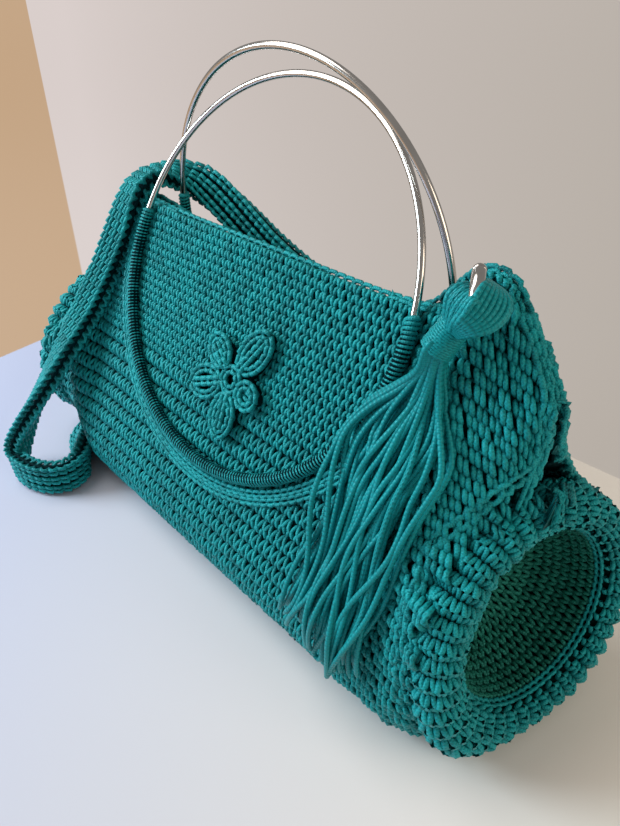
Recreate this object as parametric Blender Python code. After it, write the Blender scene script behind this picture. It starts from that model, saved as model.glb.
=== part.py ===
"""A crocheted barrel handbag with two steel ring handles, a shoulder strap and a cord tassel.

The origin is on the floor under the middle of the bag. +X points to the bag's right end,
-Y is its front and +Z is up. All lengths are in metres.
"""
import math

import bmesh
import bpy
from mathutils import Matrix, Vector

# Bag size, measured over the crocheted wall
HALF_LENGTH = 0.1661
HALF_DEPTH = 0.060
HEIGHT = 0.200
WALL = 0.003
SEAM_GAP = 0.0006
BOTTOM_GAP = 0.0004
BOTTOM_JOIN = 0.012
CLEARANCE = 0.0003
PIN_CLEARANCE = 0.0001

# Ring handles, one lying on each panel
RING_RADIUS = 0.098
RING_WIRE_RADIUS = 0.0017
RING_SEGMENTS = 40
RING_SIDES = 8
SLEEVE_WALL = 0.0015
SLEEVE_RADIUS = RING_WIRE_RADIUS + CLEARANCE + SLEEVE_WALL
SLEEVE_SEGMENTS = 22
SLEEVE_FIRST = -21
SEAT = SLEEVE_RADIUS + CLEARANCE
FRONT_RING = {"x": 0.0018, "y": -0.0070, "z": 0.1603, "lean": 26.3}
BACK_RING = {"x": 0.0034, "y": 0.0246, "z": 0.1631, "lean": -4.5}

# Dished ends: a puffy rim around a hollow
END_X = 0.1753
END_Y = -0.001
END_Z = 0.0605
END_YAW = 13.0
END_PITCH = 13.0
HOLLOW_RADIUS = 0.0425
RIM_FRONT = 0.0105
RIM_BACK = 0.0080
DISH_DEPTH = 0.037
DISH_WALL = 0.003
END_SEGMENTS = 32

# Cord strap, tassel, clip and motif
STRAP_WIDTH = 0.022
STRAP_THICKNESS = 0.0044
CORD_RADIUS = 0.0011
CLIP_RADIUS = 0.0100
CLIP_WIRE_RADIUS = 0.0025
CLIP_CENTRE = Vector((0.7893 * HALF_LENGTH, -0.2083 * HALF_DEPTH, HEIGHT - 0.0038))
CLIP_HEADING = 30.0
TAB_GRIP = 229.0
TASSEL_GRIP = 304.0
GATE_FIRST = 27.5
GATE_LAST = 98.0
GATE_GAP = 0.0005
FORK_REACH = 10.0
LEVER_START = 23.0
TASSEL_LENGTH = 0.160
NECK_RADIUS = 0.0074
NECK_TOP = CLIP_CENTRE + Vector((-0.0081, -0.0050, -0.0142))
NECK_LOW = CLIP_CENTRE + Vector((-0.0151, -0.0070, -0.0262))
LOOP_RADIUS = 0.0018

# Body sections from the left end to the right one. Columns: x as a share of HALF_LENGTH; skew,
# the share of the end's tilt; out, a shift of the top along x; top, the height of the top edge;
# seam, 0 for an open mouth and 1 for a closed gusset seam; seam_y; mid_z and mid_y; belly, the
# bulge between top and middle; wide_z and wide_y, the fullest point; foot, the rounding under
# it; floor. Heights are shares of HEIGHT, depths of HALF_DEPTH.
COLUMNS = ("x", "skew", "out", "top", "seam", "seam_y", "mid_z", "mid_y", "belly",
           "wide_z", "wide_y", "foot", "floor")
FRONT_SECTIONS = (
    (-1.000, 1.00, 0.00, 0.602, 1.0, 0.00, 0.515, 0.715, 0.10, 0.300, 1.01, 0.99, 0.006),
    (-0.985, 0.95, 0.03, 0.660, 1.0, 0.03, 0.525, 0.66, 0.05, 0.300, 0.98, 0.96, 0.018),
    (-0.961, 0.88, 0.05, 0.715, 1.0, 0.09, 0.540, 0.60, 0.00, 0.295, 0.95, 0.93, 0.030),
    (-0.925, 0.75, 0.03, 0.785, 1.0, 0.13, 0.550, 0.55, -.02, 0.280, 0.93, 0.90, 0.034),
    (-0.876, 0.55, 0.00, 0.845, 1.0, 0.15, 0.550, 0.54, 0.00, 0.255, 0.93, 0.80, 0.034),
    (-0.803, 0.35, 0.00, 0.875, 1.0, 0.15, 0.540, 0.52, 0.00, 0.220, 0.97, 0.64, 0.024),
    (-0.718, 0.15, 0.00, 0.880, 0.6, 0.15, 0.500, 0.52, 0.00, 0.180, 1.02, 0.48, 0.006),
    (-0.633, 0.00, 0.00, 0.880, 0.0, 0.15, 0.340, 0.80, 0.00, 0.140, 1.05, 0.38, 0.000),
    (-0.365, 0.00, 0.00, 0.875, 0.0, 0.15, 0.340, 0.80, 0.00, 0.135, 1.05, 0.36, 0.000),
    (0.365, 0.00, 0.00, 0.875, 0.0, 0.15, 0.340, 0.80, 0.00, 0.135, 1.05, 0.36, 0.000),
    (0.633, 0.00, 0.00, 0.882, 0.0, 0.15, 0.340, 0.80, 0.00, 0.136, 1.05, 0.36, 0.000),
    (0.718, 0.15, 0.00, 0.945, 0.6, 0.15, 0.500, 0.53, 0.00, 0.138, 1.05, 0.36, 0.002),
    (0.803, 0.35, 0.00, 0.992, 1.0, 0.15, 0.550, 0.55, 0.01, 0.140, 1.05, 0.36, 0.004),
    (0.876, 0.55, 0.014, 0.995, 1.0, 0.15, 0.565, 0.58, 0.00, 0.145, 1.05, 0.37, 0.006),
    (0.925, 0.75, 0.052, 0.920, 1.0, 0.13, 0.565, 0.61, -.02, 0.155, 1.05, 0.39, 0.008),
    (0.961, 0.88, 0.119, 0.825, 1.0, 0.09, 0.546, 0.66, 0.00, 0.175, 1.04, 0.44, 0.008),
    (0.985, 0.95, 0.125, 0.710, 1.0, 0.03, 0.527, 0.70, 0.05, 0.205, 1.03, 0.52, 0.007),
    (1.000, 1.00, 0.00, 0.602, 1.0, 0.00, 0.515, 0.73, 0.10, 0.235, 1.02, 0.62, 0.006),
)
BACK_SECTIONS = (
    (-1.000, 1.00, 0.00, 0.602, 1.0, 0.00, 0.515, 0.69, 0.10, 0.304, 0.98, 0.97, 0.006),
    (-0.985, 0.95, 0.03, 0.660, 1.0, 0.03, 0.525, 0.64, 0.05, 0.303, 0.96, 0.95, 0.018),
    (-0.961, 0.88, 0.05, 0.715, 1.0, 0.09, 0.540, 0.58, 0.00, 0.300, 0.94, 0.92, 0.030),
    (-0.925, 0.75, 0.03, 0.785, 1.0, 0.13, 0.550, 0.54, -.02, 0.290, 0.92, 0.90, 0.034),
    (-0.876, 0.55, 0.00, 0.845, 1.0, 0.15, 0.550, 0.54, 0.00, 0.275, 0.91, 0.84, 0.034),
    (-0.803, 0.35, 0.00, 0.875, 1.0, 0.15, 0.540, 0.54, 0.00, 0.240, 0.89, 0.68, 0.024),
    (-0.735, 0.15, 0.00, 0.875, 0.6, 0.15, 0.500, 0.50, 0.00, 0.205, 0.83, 0.52, 0.006),
    (-0.640, 0.00, 0.00, 0.865, 0.0, 0.15, 0.310, 0.52, 0.00, 0.170, 0.77, 0.42, 0.000),
    (-0.365, 0.00, 0.00, 0.830, 0.0, 0.15, 0.310, 0.52, 0.00, 0.155, 0.74, 0.40, 0.000),
    (0.365, 0.00, 0.00, 0.815, 0.0, 0.15, 0.310, 0.52, 0.00, 0.155, 0.74, 0.40, 0.000),
    (0.540, 0.00, 0.00, 0.840, 0.0, 0.15, 0.310, 0.52, 0.00, 0.165, 0.75, 0.41, 0.000),
    (0.660, 0.00, 0.00, 0.935, 0.0, 0.15, 0.310, 0.52, 0.00, 0.170, 0.77, 0.42, 0.000),
    (0.735, 0.15, 0.00, 0.975, 0.6, 0.15, 0.500, 0.47, 0.00, 0.200, 0.83, 0.50, 0.002),
    (0.803, 0.35, 0.00, 0.992, 1.0, 0.15, 0.550, 0.46, -.04, 0.240, 0.90, 0.62, 0.004),
    (0.876, 0.55, 0.014, 0.995, 1.0, 0.15, 0.565, 0.44, -.06, 0.275, 0.94, 0.76, 0.006),
    (0.925, 0.75, 0.052, 0.920, 1.0, 0.13, 0.565, 0.44, -.06, 0.295, 0.95, 0.86, 0.008),
    (0.961, 0.88, 0.119, 0.825, 1.0, 0.09, 0.546, 0.52, -.03, 0.300, 0.95, 0.92, 0.008),
    (0.985, 0.95, 0.125, 0.710, 1.0, 0.03, 0.527, 0.60, 0.04, 0.303, 0.96, 0.95, 0.007),
    (1.000, 1.00, 0.00, 0.602, 1.0, 0.00, 0.515, 0.69, 0.10, 0.304, 0.98, 0.97, 0.006),
)
# Outer radius of the rims. Columns: direction in degrees from the back over the top, then the
# radius as a share of HALF_DEPTH for the right end and for the left one
RIM_OUTLINE = (
    (0, 0.985, 1.01),
    (45, 0.985, 1.01),
    (90, 1.02, 1.02),
    (135, 1.01, 1.02),
    (180, 1.03, 1.02),
    (205, 1.10, 1.01),
    (225, 1.16, 1.01),
    (240, 1.10, 1.00),
    (262, 0.990, 0.990),
    (278, 0.985, 0.985),
    (300, 1.05, 0.99),
    (330, 1.00, 1.00),
    (360, 0.985, 1.01),
)
STATION_COUNT = 15
STATION_CROWDING = 1.7
PANEL_STEPS = 6
SIDE_STEPS = 4
FOOT_STEPS = 4
FLOOR_STEPS = 2

# Dents in the front. Columns: x and z of the centre, half widths in x and z, depth
DENTS = (
    (0.92, 0.60, 0.07, 0.07, 0.060),
    (-0.90, 0.60, 0.07, 0.07, 0.040),
    (0.72, 0.30, 0.14, 0.14, 0.020),
)

# Strap route, chosen by hand from the right corner around to the left one. Columns: x, y, z
# in millimetres, then the direction across the strap. The first and last rows hold only the
# direction there, because the ends are sewn to the back of the bag.
STRAP_ROUTE = (
    (124, 18, 180, 1.0, 0.0, 0.0),
    (121, 33, 164, 0.9, 0.1, 0.4),
    (103, 43, 148, 0.6, 0.0, 0.8),
    (68, 48, 132, 0.2, 0.0, 1.0),
    (30, 50, 129, 0.0, 0.1, 1.0),
    (-12, 49, 139, 0.0, 0.2, 1.0),
    (-45, 46, 153, 0.0, 0.3, 0.9),
    (-75, 44, 169, -.1, 0.5, 0.8),
    (-99, 39, 181, -.5, 0.6, 0.6),
    (-112, 22, 186, -.7, 0.7, 0.0),
    (-115, 5, 181, -.9, 0.4, 0.1),
    (-117, -8, 160, -1., 0.1, 0.2),
    (-123, -20, 136, -.9, 0.2, 0.3),
    (-127, -37, 111, -.9, 0.3, 0.3),
    (-129, -55, 90, -.9, 0.4, 0.1),
    (-134, -72, 67, -.9, 0.5, -.1),
    (-143, -86, 44, -.8, 0.5, -.4),
    (-149, -95, 25, -.5, 0.3, -.8),
    (-145, -101, 14, -.1, 0.1, -1.),
    (-133, -102, 12.4, 0.0, 0.0, -1.),
    (-117, -97, 12.4, 0.0, 0.0, -1.),
    (-107, -85, 12.4, 0.0, 0.0, -1.),
    (-112, -71, 12.4, 0.0, -.1, -1.),
    (-128, -62, 12, -.1, -.4, -.9),
    (-146, -53, 9, -.6, -.3, -.6),
    (-155, -36, 3.4, -1., 0.0, 0.0),
    (-155, 0, 3.0, -1., 0.0, 0.0),
    (-155, 36, 3.4, -1., 0.0, 0.0),
    (-154, 58, 15, -1., 0.0, 0.0),
    (-152, 67, 40, -1., 0.0, 0.0),
    (-149, 65, 75, -1., 0.0, 0.0),
    (-146, 53, 108, -1., 0.0, 0.0),
    (-142, 31, 144, -1., 0.0, 0.0),
    (-140, 22, 166, -1., 0.0, 0.0),
)
STRAP_STEPS_PER_ROW = 2
STRAP_ENDS = {"right": (0.725, 0.11), "left": (-0.85, 0.14)}

# Tassel locks. Columns: x of the tip as a share of HALF_LENGTH, height of the tip as a share
# of TASSEL_LENGTH, and how far the lock bows sideways
LOCKS = (
    (0.480, 0.200, -0.050),
    (0.545, 0.170, -0.035),
    (0.610, 0.140, -0.020),
    (0.675, 0.120, -0.005),
    (0.735, 0.140, 0.010),
    (0.785, 0.200, 0.030),
    (0.830, 0.330, 0.050),
)
LOCK_STATIONS = 6
LOCK_SIDES = 6

# Petals of the motif. Columns: direction in degrees, length, half width
PETALS = (
    (140.0, 0.026, 0.0070),
    (60.0, 0.034, 0.0085),
    (-12.0, 0.022, 0.0070),
    (-85.0, 0.031, 0.0080),
    (-155.0, 0.031, 0.0085),
)
MOTIF_STEPS = 48
MOTIF_RISE = 0.0038
MOTIF_HEART = 0.0078
MOTIF_CORD = 0.0034
MOTIF_X = 0.010
MOTIF_DROP = 0.048


def clear_scene():
    for thing in list(bpy.data.objects):
        bpy.data.objects.remove(thing, do_unlink=True)


def material(name, colour, roughness, metallic=0.0):
    mat = bpy.data.materials.new(name)
    mat.use_nodes = True
    shader = mat.node_tree.nodes["Principled BSDF"]
    shader.inputs["Base Color"].default_value = (*colour, 1.0)
    shader.inputs["Roughness"].default_value = roughness
    shader.inputs["Metallic"].default_value = metallic
    mat.diffuse_color = (*colour, 1.0)
    return mat


def add_object(name, bm, mat, place=None, smooth=True):
    """Link one closed mesh as an object with its own material."""
    bmesh.ops.recalc_face_normals(bm, faces=bm.faces)
    mesh = bpy.data.meshes.new(name)
    bm.to_mesh(mesh)
    bm.free()
    mesh.materials.append(mat)
    for polygon in mesh.polygons:
        polygon.use_smooth = smooth
    thing = bpy.data.objects.new(name, mesh)
    bpy.context.scene.collection.objects.link(thing)
    if place is not None:
        thing.matrix_world = place
    return thing


def smooth_value(keys, values, at):
    """Interpolate without overshoot, flat where neighbouring values are equal."""
    if at <= keys[0]:
        return values[0]
    if at >= keys[-1]:
        return values[-1]
    slopes = [(values[i + 1] - values[i]) / (keys[i + 1] - keys[i]) for i in range(len(keys) - 1)]
    tangents = [slopes[0]]
    for before, after in zip(slopes, slopes[1:]):
        tangents.append(0.0 if before * after <= 0 else 2 * before * after / (before + after))
    tangents.append(slopes[-1])
    i = max(k for k in range(len(keys) - 1) if keys[k] <= at)
    width = keys[i + 1] - keys[i]
    t = (at - keys[i]) / width
    return ((2 * t**3 - 3 * t**2 + 1) * values[i] + (t**3 - 2 * t**2 + t) * width * tangents[i]
            + (3 * t**2 - 2 * t**3) * values[i + 1] + (t**3 - t**2) * width * tangents[i + 1])


def section_values(rows, share):
    keys = [row[0] for row in rows]
    values = {}
    for column, name in enumerate(COLUMNS):
        values[name] = smooth_value(keys, [row[column] for row in rows], share)
    return values


def seat_y(ring, side, z):
    """Depth of the panel that a ring lies on, at height z."""
    lean = math.radians(ring["lean"])
    return ring["y"] + (z - ring["z"]) * math.tan(lean) - side * SEAT / math.cos(lean)


def wall_curve(side, share):
    """Outer face of one half of the body at a station, from the top edge to the floor's middle."""
    rows, ring = (FRONT_SECTIONS, FRONT_RING) if side < 0 else (BACK_SECTIONS, BACK_RING)
    v = section_values(rows, share)
    hand = 1.0 if share >= 0 else -1.0
    top_z = v["top"] * HEIGHT
    seam = v["seam_y"] * HALF_DEPTH + side * (WALL + SEAM_GAP / 2)
    top_y = (1 - v["seam"]) * seat_y(ring, side, top_z) + v["seam"] * seam
    mid_z = v["mid_z"] * HEIGHT
    mid_y = (1 - v["seam"]) * seat_y(ring, side, mid_z) + v["seam"] * side * v["mid_y"] * HALF_DEPTH
    wide = Vector((side * v["wide_y"] * HALF_DEPTH, v["wide_z"] * HEIGHT))
    floor = v["floor"] * HEIGHT
    top = Vector((top_y, top_z))
    mid = Vector((mid_y, mid_z))
    chord = mid - top
    outward = Vector((side * abs(chord.y), side * chord.x * (1 if chord.y < 0 else -1)))
    points = []
    for k in range(PANEL_STEPS):
        t = k / PANEL_STEPS
        points.append(top + chord * t + outward * v["belly"] * 4 * t * (1 - t))
    reach = (wide - mid).length
    start = (chord - outward * 4 * v["belly"]).normalized() * reach
    for k in range(SIDE_STEPS):
        t = k / SIDE_STEPS
        points.append(mid * (2 * t**3 - 3 * t**2 + 1) + start * (t**3 - 2 * t**2 + t)
                      + wide * (3 * t**2 - 2 * t**3) + Vector((0, -reach)) * (t**3 - t**2))
    foot = v["foot"] * HALF_DEPTH
    for k in range(FOOT_STEPS):
        angle = math.pi / 2 * k / FOOT_STEPS
        points.append(Vector((wide.x - side * foot * (1 - math.cos(angle)),
                              wide.y - (wide.y - floor) * math.sin(angle))))
    last = BOTTOM_JOIN * (1 - share**2)**3 + side * BOTTOM_GAP / 2
    for k in range(FLOOR_STEPS + 1):
        t = k / FLOOR_STEPS
        points.append(Vector(((wide.x - side * foot) * (1 - t) + last * t, floor)))
    yaw, pitch = math.tan(math.radians(END_YAW)), math.tan(math.radians(END_PITCH))
    curve = []
    for p in points:
        rise = max(0.0, (p.y - mid_z) / (top_z - mid_z))
        tilt = yaw * (p.x - END_Y) - pitch * (p.y - END_Z)
        x = abs(share) * HALF_LENGTH + v["skew"] * tilt + v["out"] * HALF_LENGTH * rise
        curve.append(Vector((hand * x, p.x, p.y)))
    for x, z, wide_x, wide_z, depth in DENTS:
        if side > 0:
            continue
        for p in curve:
            near = ((p.x / HALF_LENGTH - x) / wide_x)**2 + ((p.z / HEIGHT - z) / wide_z)**2
            p.y += depth * HALF_DEPTH * math.exp(-near)
    return curve


def stations():
    half = [1 - (1 - k / STATION_COUNT)**STATION_CROWDING for k in range(1, STATION_COUNT + 1)]
    return [-share for share in reversed(half)] + [0.0] + half


def wall_normal(grid, i, j, side):
    along = grid[min(i + 1, len(grid) - 1)][j] - grid[max(i - 1, 0)][j]
    down = grid[i][min(j + 1, len(grid[i]) - 1)] - grid[i][max(j - 1, 0)]
    normal = along.cross(down).normalized()
    return normal * side


def slab(outer, inner):
    """Close two matching grids of points into one solid wall."""
    bm = bmesh.new()
    top = [[bm.verts.new(p) for p in row] for row in outer]
    low = [[bm.verts.new(p) for p in row] for row in inner]
    rows, columns = len(outer), len(outer[0])
    for i in range(rows - 1):
        for j in range(columns - 1):
            bm.faces.new((top[i][j], top[i + 1][j], top[i + 1][j + 1], top[i][j + 1]))
            bm.faces.new((low[i][j], low[i][j + 1], low[i + 1][j + 1], low[i + 1][j]))
    rim = [(i, 0) for i in range(rows)] + [(rows - 1, j) for j in range(1, columns)]
    rim += [(i, columns - 1) for i in range(rows - 2, -1, -1)]
    rim += [(0, j) for j in range(columns - 2, 0, -1)]
    for a, b in zip(rim, rim[1:] + rim[:1]):
        bm.faces.new((top[a[0]][a[1]], low[a[0]][a[1]], low[b[0]][b[1]], top[b[0]][b[1]]))
    return bm


def end_axis(hand):
    """Direction an end faces: outwards, turned to the front and tilted up."""
    yaw, pitch = math.radians(END_YAW), math.radians(END_PITCH)
    return Vector((hand * math.cos(yaw), -math.sin(yaw), math.tan(pitch))).normalized()


def build_wall(name, side, mat):
    """Half of the crocheted body: a curved wall from the mouth down and under to the middle."""
    outer = [wall_curve(side, share) for share in stations()]
    inner = []
    for i, row in enumerate(outer):
        normals = [wall_normal(outer, i, j, side) for j in range(len(row))]
        if i in (0, len(outer) - 1):
            facing = end_axis(-1 if i == 0 else 1)
            normals = [(n - facing * n.dot(facing)).normalized() for n in normals]
        inner.append([p - n * WALL for p, n in zip(row, normals)])
    return add_object(name, slab(outer, inner), mat)


def wall_spot(side, share, down):
    """Point and outward normal on a wall, at a share of its length and of its panel height."""
    step = 0.01
    count = down * PANEL_STEPS
    low = int(count)
    rows = [wall_curve(side, share - step), wall_curve(side, share), wall_curve(side, share + step)]
    here = [row[low].lerp(row[low + 1], count - low) for row in rows]
    normal = (here[2] - here[0]).cross(rows[1][low + 1] - rows[1][low]).normalized()
    return here[1], normal * side


def tube(bm, path, across, up, closed=False):
    """Sweep a ring of offsets along a path; across and up give two half sizes or vectors."""
    rings = []
    for centre, a, b, sides, phase in path:
        ring = []
        for k in range(sides):
            angle = 2 * math.pi * (k + phase) / sides
            ring.append(bm.verts.new(centre + a * across * math.cos(angle)
                                     + b * up * math.sin(angle)))
        rings.append(ring)
    pairs = list(zip(rings, rings[1:])) + ([(rings[-1], rings[0])] if closed else [])
    for one, two in pairs:
        for k in range(len(one)):
            m = (k + 1) % len(one)
            bm.faces.new((one[k], one[m], two[m], two[k]))
    if not closed:
        bm.faces.new(tuple(reversed(rings[0])))
        bm.faces.new(tuple(rings[-1]))
    return rings


def ring_place(ring):
    """A ring's own axes: it lies in its X and Z, and its Y points into the bag."""
    place = Matrix.Translation((ring["x"], ring["y"], ring["z"]))
    return place @ Matrix.Rotation(-math.radians(ring["lean"]), 4, "X")


def arc_point(angle, radius):
    return Vector((radius * math.cos(angle), 0.0, radius * math.sin(angle)))


def build_ring(name, ring, mat):
    bm = bmesh.new()
    path = []
    for k in range(RING_SEGMENTS):
        angle = 2 * math.pi * k / RING_SEGMENTS
        path.append((arc_point(angle, RING_RADIUS), arc_point(angle, 1.0), Vector((0, 1, 0)),
                     RING_SIDES, 0.5))
    tube(bm, path, RING_WIRE_RADIUS, RING_WIRE_RADIUS, closed=True)
    return add_object(name, bm, mat, ring_place(ring))


def build_sleeve(name, ring, mat):
    """A crocheted tube around the lower part of a ring, open at both ends."""
    bm = bmesh.new()
    layers = []
    for radius in (SLEEVE_RADIUS, RING_WIRE_RADIUS + CLEARANCE):
        rings = []
        for k in range(SLEEVE_SEGMENTS + 1):
            angle = 2 * math.pi * (SLEEVE_FIRST + k) / RING_SEGMENTS
            centre = arc_point(angle, RING_RADIUS)
            ring_verts = []
            for m in range(RING_SIDES):
                turn = 2 * math.pi * (m + 0.5) / RING_SIDES
                offset = arc_point(angle, math.cos(turn)) + Vector((0, math.sin(turn), 0))
                ring_verts.append(bm.verts.new(centre + offset * radius))
            rings.append(ring_verts)
        layers.append(rings)
    for rings in layers:
        for one, two in zip(rings, rings[1:]):
            for m in range(RING_SIDES):
                n = (m + 1) % RING_SIDES
                bm.faces.new((one[m], one[n], two[n], two[m]))
    for end in (0, -1):
        for m in range(RING_SIDES):
            n = (m + 1) % RING_SIDES
            bm.faces.new((layers[0][end][m], layers[1][end][m], layers[1][end][n],
                          layers[0][end][n]))
    return add_object(name, bm, mat, ring_place(ring))


def build_end(name, hand, mat):
    """A dished end: a puffy rim whose inner side turns in to a shallow bowl."""
    bowl = ((0.0, 1.0), (0.48, 0.95), (0.84, 0.74), (0.98, 0.36))
    directions = [row[0] for row in RIM_OUTLINE]
    shares = [row[1 if hand > 0 else 2] for row in RIM_OUTLINE]
    bm = bmesh.new()
    centre_front = bm.verts.new((0, 0, -DISH_DEPTH))
    centre_back = bm.verts.new((0, 0, -DISH_DEPTH - DISH_WALL))
    spokes = []
    for k in range(END_SEGMENTS):
        angle = 2 * math.pi * k / END_SEGMENTS
        outer = smooth_value(directions, shares, math.degrees(angle)) * HALF_DEPTH
        half_wide = (outer - HOLLOW_RADIUS) / 2
        profile = [(reach * HOLLOW_RADIUS, -depth * DISH_DEPTH) for reach, depth in bowl[1:]]
        for m in range(7):
            turn = math.radians(180 - 40 * m)
            half_thick = RIM_FRONT if math.sin(turn) > 0 else RIM_BACK
            profile.append((HOLLOW_RADIUS + half_wide * (1 + math.cos(turn)),
                            half_thick * math.sin(turn)))
        for reach, depth in reversed(bowl[1:]):
            profile.append((reach * (HOLLOW_RADIUS + DISH_WALL), -depth * DISH_DEPTH - DISH_WALL))
        across, up = math.cos(angle) * hand, math.sin(angle)
        spokes.append([bm.verts.new((r * across, r * up, height)) for r, height in profile])
    for one, two in zip(spokes, spokes[1:] + spokes[:1]):
        for m in range(len(one) - 1):
            bm.faces.new((one[m], one[m + 1], two[m + 1], two[m]))
        bm.faces.new((centre_front, one[0], two[0]))
        bm.faces.new((centre_back, two[-1], one[-1]))
    outward = end_axis(hand)
    level = Vector((0, 0, 1)).cross(outward).normalized()
    turn = Matrix((level, outward.cross(level), outward)).transposed().to_4x4()
    place = Matrix.Translation((hand * END_X, END_Y, END_Z)) @ turn
    return add_object(name, bm, mat, place)


def catmull(points, steps):
    """A smooth path through hand-chosen points."""
    path = []
    for i in range(len(points) - 1):
        before, a = points[max(i - 1, 0)], points[i]
        b, after = points[i + 1], points[min(i + 2, len(points) - 1)]
        for k in range(steps):
            t = k / steps
            path.append(0.5 * ((2 * a) + (b - before) * t + (2 * before - 5 * a + 4 * b - after)
                               * t**2 + (3 * a - before - 3 * b + after) * t**3))
    return path + [points[-1]]


def build_strap(mat):
    centres = [Vector(row[:3]) * 0.001 for row in STRAP_ROUTE]
    widths = [Vector(row[3:]) for row in STRAP_ROUTE]
    lift = STRAP_THICKNESS / 2 + 2 * CLEARANCE
    for index, end in ((0, "right"), (-1, "left")):
        spot, normal = wall_spot(1, *STRAP_ENDS[end])
        centres[index] = spot + normal * lift
        widths[index] -= normal * widths[index].dot(normal)
    path = catmull(centres, STRAP_STEPS_PER_ROW)
    across = catmull(widths, STRAP_STEPS_PER_ROW)
    bm = bmesh.new()
    outline = ((-0.5, 0.0), (-0.42, 0.5), (0.42, 0.5), (0.5, 0.0), (0.42, -0.5), (-0.42, -0.5))
    rings = []
    for k, centre in enumerate(path):
        ahead = (path[min(k + 1, len(path) - 1)] - path[max(k - 1, 0)]).normalized()
        side = (across[k] - ahead * across[k].dot(ahead)).normalized()
        face = ahead.cross(side)
        rings.append([bm.verts.new(centre + side * STRAP_WIDTH * a + face * STRAP_THICKNESS * b)
                      for a, b in outline])
    for one, two in zip(rings, rings[1:]):
        for k in range(len(outline)):
            m = (k + 1) % len(outline)
            bm.faces.new((one[k], one[m], two[m], two[k]))
    bm.faces.new(tuple(reversed(rings[0])))
    bm.faces.new(tuple(rings[-1]))
    return add_object("strap", bm, mat)


def combine(name, first, others, mat, operation="UNION"):
    """Fuse or cut closed pieces, worked out at a large scale so that fine edges stay clean."""
    bpy.context.view_layer.update()
    for piece in [first, *others]:
        piece.data.transform(Matrix.Scale(1000.0, 4) @ piece.matrix_world)
        piece.matrix_world = Matrix.Identity(4)
    for piece in others:
        modifier = first.modifiers.new("combine", "BOOLEAN")
        modifier.operation = operation
        modifier.object = piece
    bpy.context.view_layer.update()
    graph = bpy.context.evaluated_depsgraph_get()
    bm = bmesh.new()
    bm.from_mesh(first.evaluated_get(graph).to_mesh())
    for piece in [first, *others]:
        bpy.data.objects.remove(piece, do_unlink=True)
    bm.transform(Matrix.Scale(0.001, 4))
    return add_object(name, bm, mat)


def petal_reach(turn, angle, length, half_width):
    """Distance from the motif's middle to a petal's outer edge, in the direction turn."""
    a = length / 2
    off = turn - math.radians(angle)
    p = (math.cos(off) / a)**2 + (math.sin(off) / half_width)**2
    q = math.cos(off) / a
    return max(0.0, 2 * q / p)


def build_motif(mat):
    """Five loops of crocheted cord around a small ring, sewn on the front panel."""
    loops = []
    outline = []
    for k in range(MOTIF_STEPS):
        turn = 2 * math.pi * k / MOTIF_STEPS
        reach = max(petal_reach(turn, *petal) for petal in PETALS)
        outline.append(arc_point(turn, max(reach, MOTIF_HEART)))
    loops.append(outline)
    loops.append([arc_point(2 * math.pi * k / 6, MOTIF_HEART - MOTIF_CORD) for k in range(6)])
    for angle, length, half_width in PETALS:
        turn = math.radians(angle)
        first, last = MOTIF_HEART + MOTIF_CORD / 2, length - MOTIF_CORD
        hole = []
        for k in range(8):
            around = 2 * math.pi * k / 8
            out = (first + last) / 2 + (last - first) / 2 * math.cos(around)
            aside = (half_width - MOTIF_CORD) * math.sin(around)
            hole.append(Vector((out * math.cos(turn) - aside * math.sin(turn), 0,
                                out * math.sin(turn) + aside * math.cos(turn))))
        loops.append(hole)
    bm = bmesh.new()
    edges = []
    for loop in loops:
        verts = [bm.verts.new(p) for p in loop]
        edges += [bm.edges.new((a, b)) for a, b in zip(verts, verts[1:] + verts[:1])]
    bmesh.ops.triangle_fill(bm, use_beauty=True, use_dissolve=False, edges=edges,
                            normal=(0, 1, 0))
    raised = bmesh.ops.extrude_face_region(bm, geom=list(bm.faces))
    moved = [item for item in raised["geom"] if isinstance(item, bmesh.types.BMVert)]
    bmesh.ops.translate(bm, verts=moved, vec=(0, -MOTIF_RISE, 0))
    place = ring_place(FRONT_RING) @ Matrix.Translation((MOTIF_X, SEAT - CLEARANCE, -MOTIF_DROP))
    return add_object("motif", bm, mat, place)


def clip_axes():
    heading = math.radians(CLIP_HEADING)
    ahead = Vector((math.sin(heading), -math.cos(heading), 0.0))
    return ahead, Vector((0.0, 0.0, 1.0)), Vector((math.cos(heading), math.sin(heading), 0.0))


def clip_point(degrees, radius=CLIP_RADIUS):
    ahead, up, _ = clip_axes()
    angle = math.radians(degrees)
    return CLIP_CENTRE + radius * (ahead * math.cos(angle) + up * math.sin(angle))


def clip_arc(first, last, steps, taper=1.0):
    """A bent wire along the clip's circle, a little thicker than it is wide."""
    _, _, across = clip_axes()
    bm = bmesh.new()
    path = []
    for k in range(steps + 1):
        degrees = first + (last - first) * k / steps
        outward = (clip_point(degrees) - CLIP_CENTRE).normalized()
        path.append((clip_point(degrees), outward, across, 8, 0.5))
    tube(bm, path, CLIP_WIRE_RADIUS * taper, CLIP_WIRE_RADIUS * taper)
    return bm


def box(size, place):
    bm = bmesh.new()
    bmesh.ops.create_cube(bm, size=1.0, matrix=place @ Matrix.Diagonal((*size, 1.0)))
    return bm


def clip_frame(degrees, radius=CLIP_RADIUS):
    """Axes on the clip's wire: X outwards, Y across the clip, Z along the wire."""
    _, _, across = clip_axes()
    outward = (clip_point(degrees) - CLIP_CENTRE).normalized()
    along = outward.cross(across)
    turn = Matrix((outward, across, along)).transposed().to_4x4()
    return Matrix.Translation(clip_point(degrees, radius)) @ turn


def gate_frame(distance):
    """Axes on the line from the hinge to the gate's tip: X along it, Y across the clip."""
    _, _, across = clip_axes()
    line = (clip_point(GATE_FIRST) - clip_point(GATE_LAST)).normalized()
    turn = Matrix((line, across, line.cross(across))).transposed().to_4x4()
    return Matrix.Translation(clip_point(GATE_LAST) + line * distance) @ turn


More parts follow.
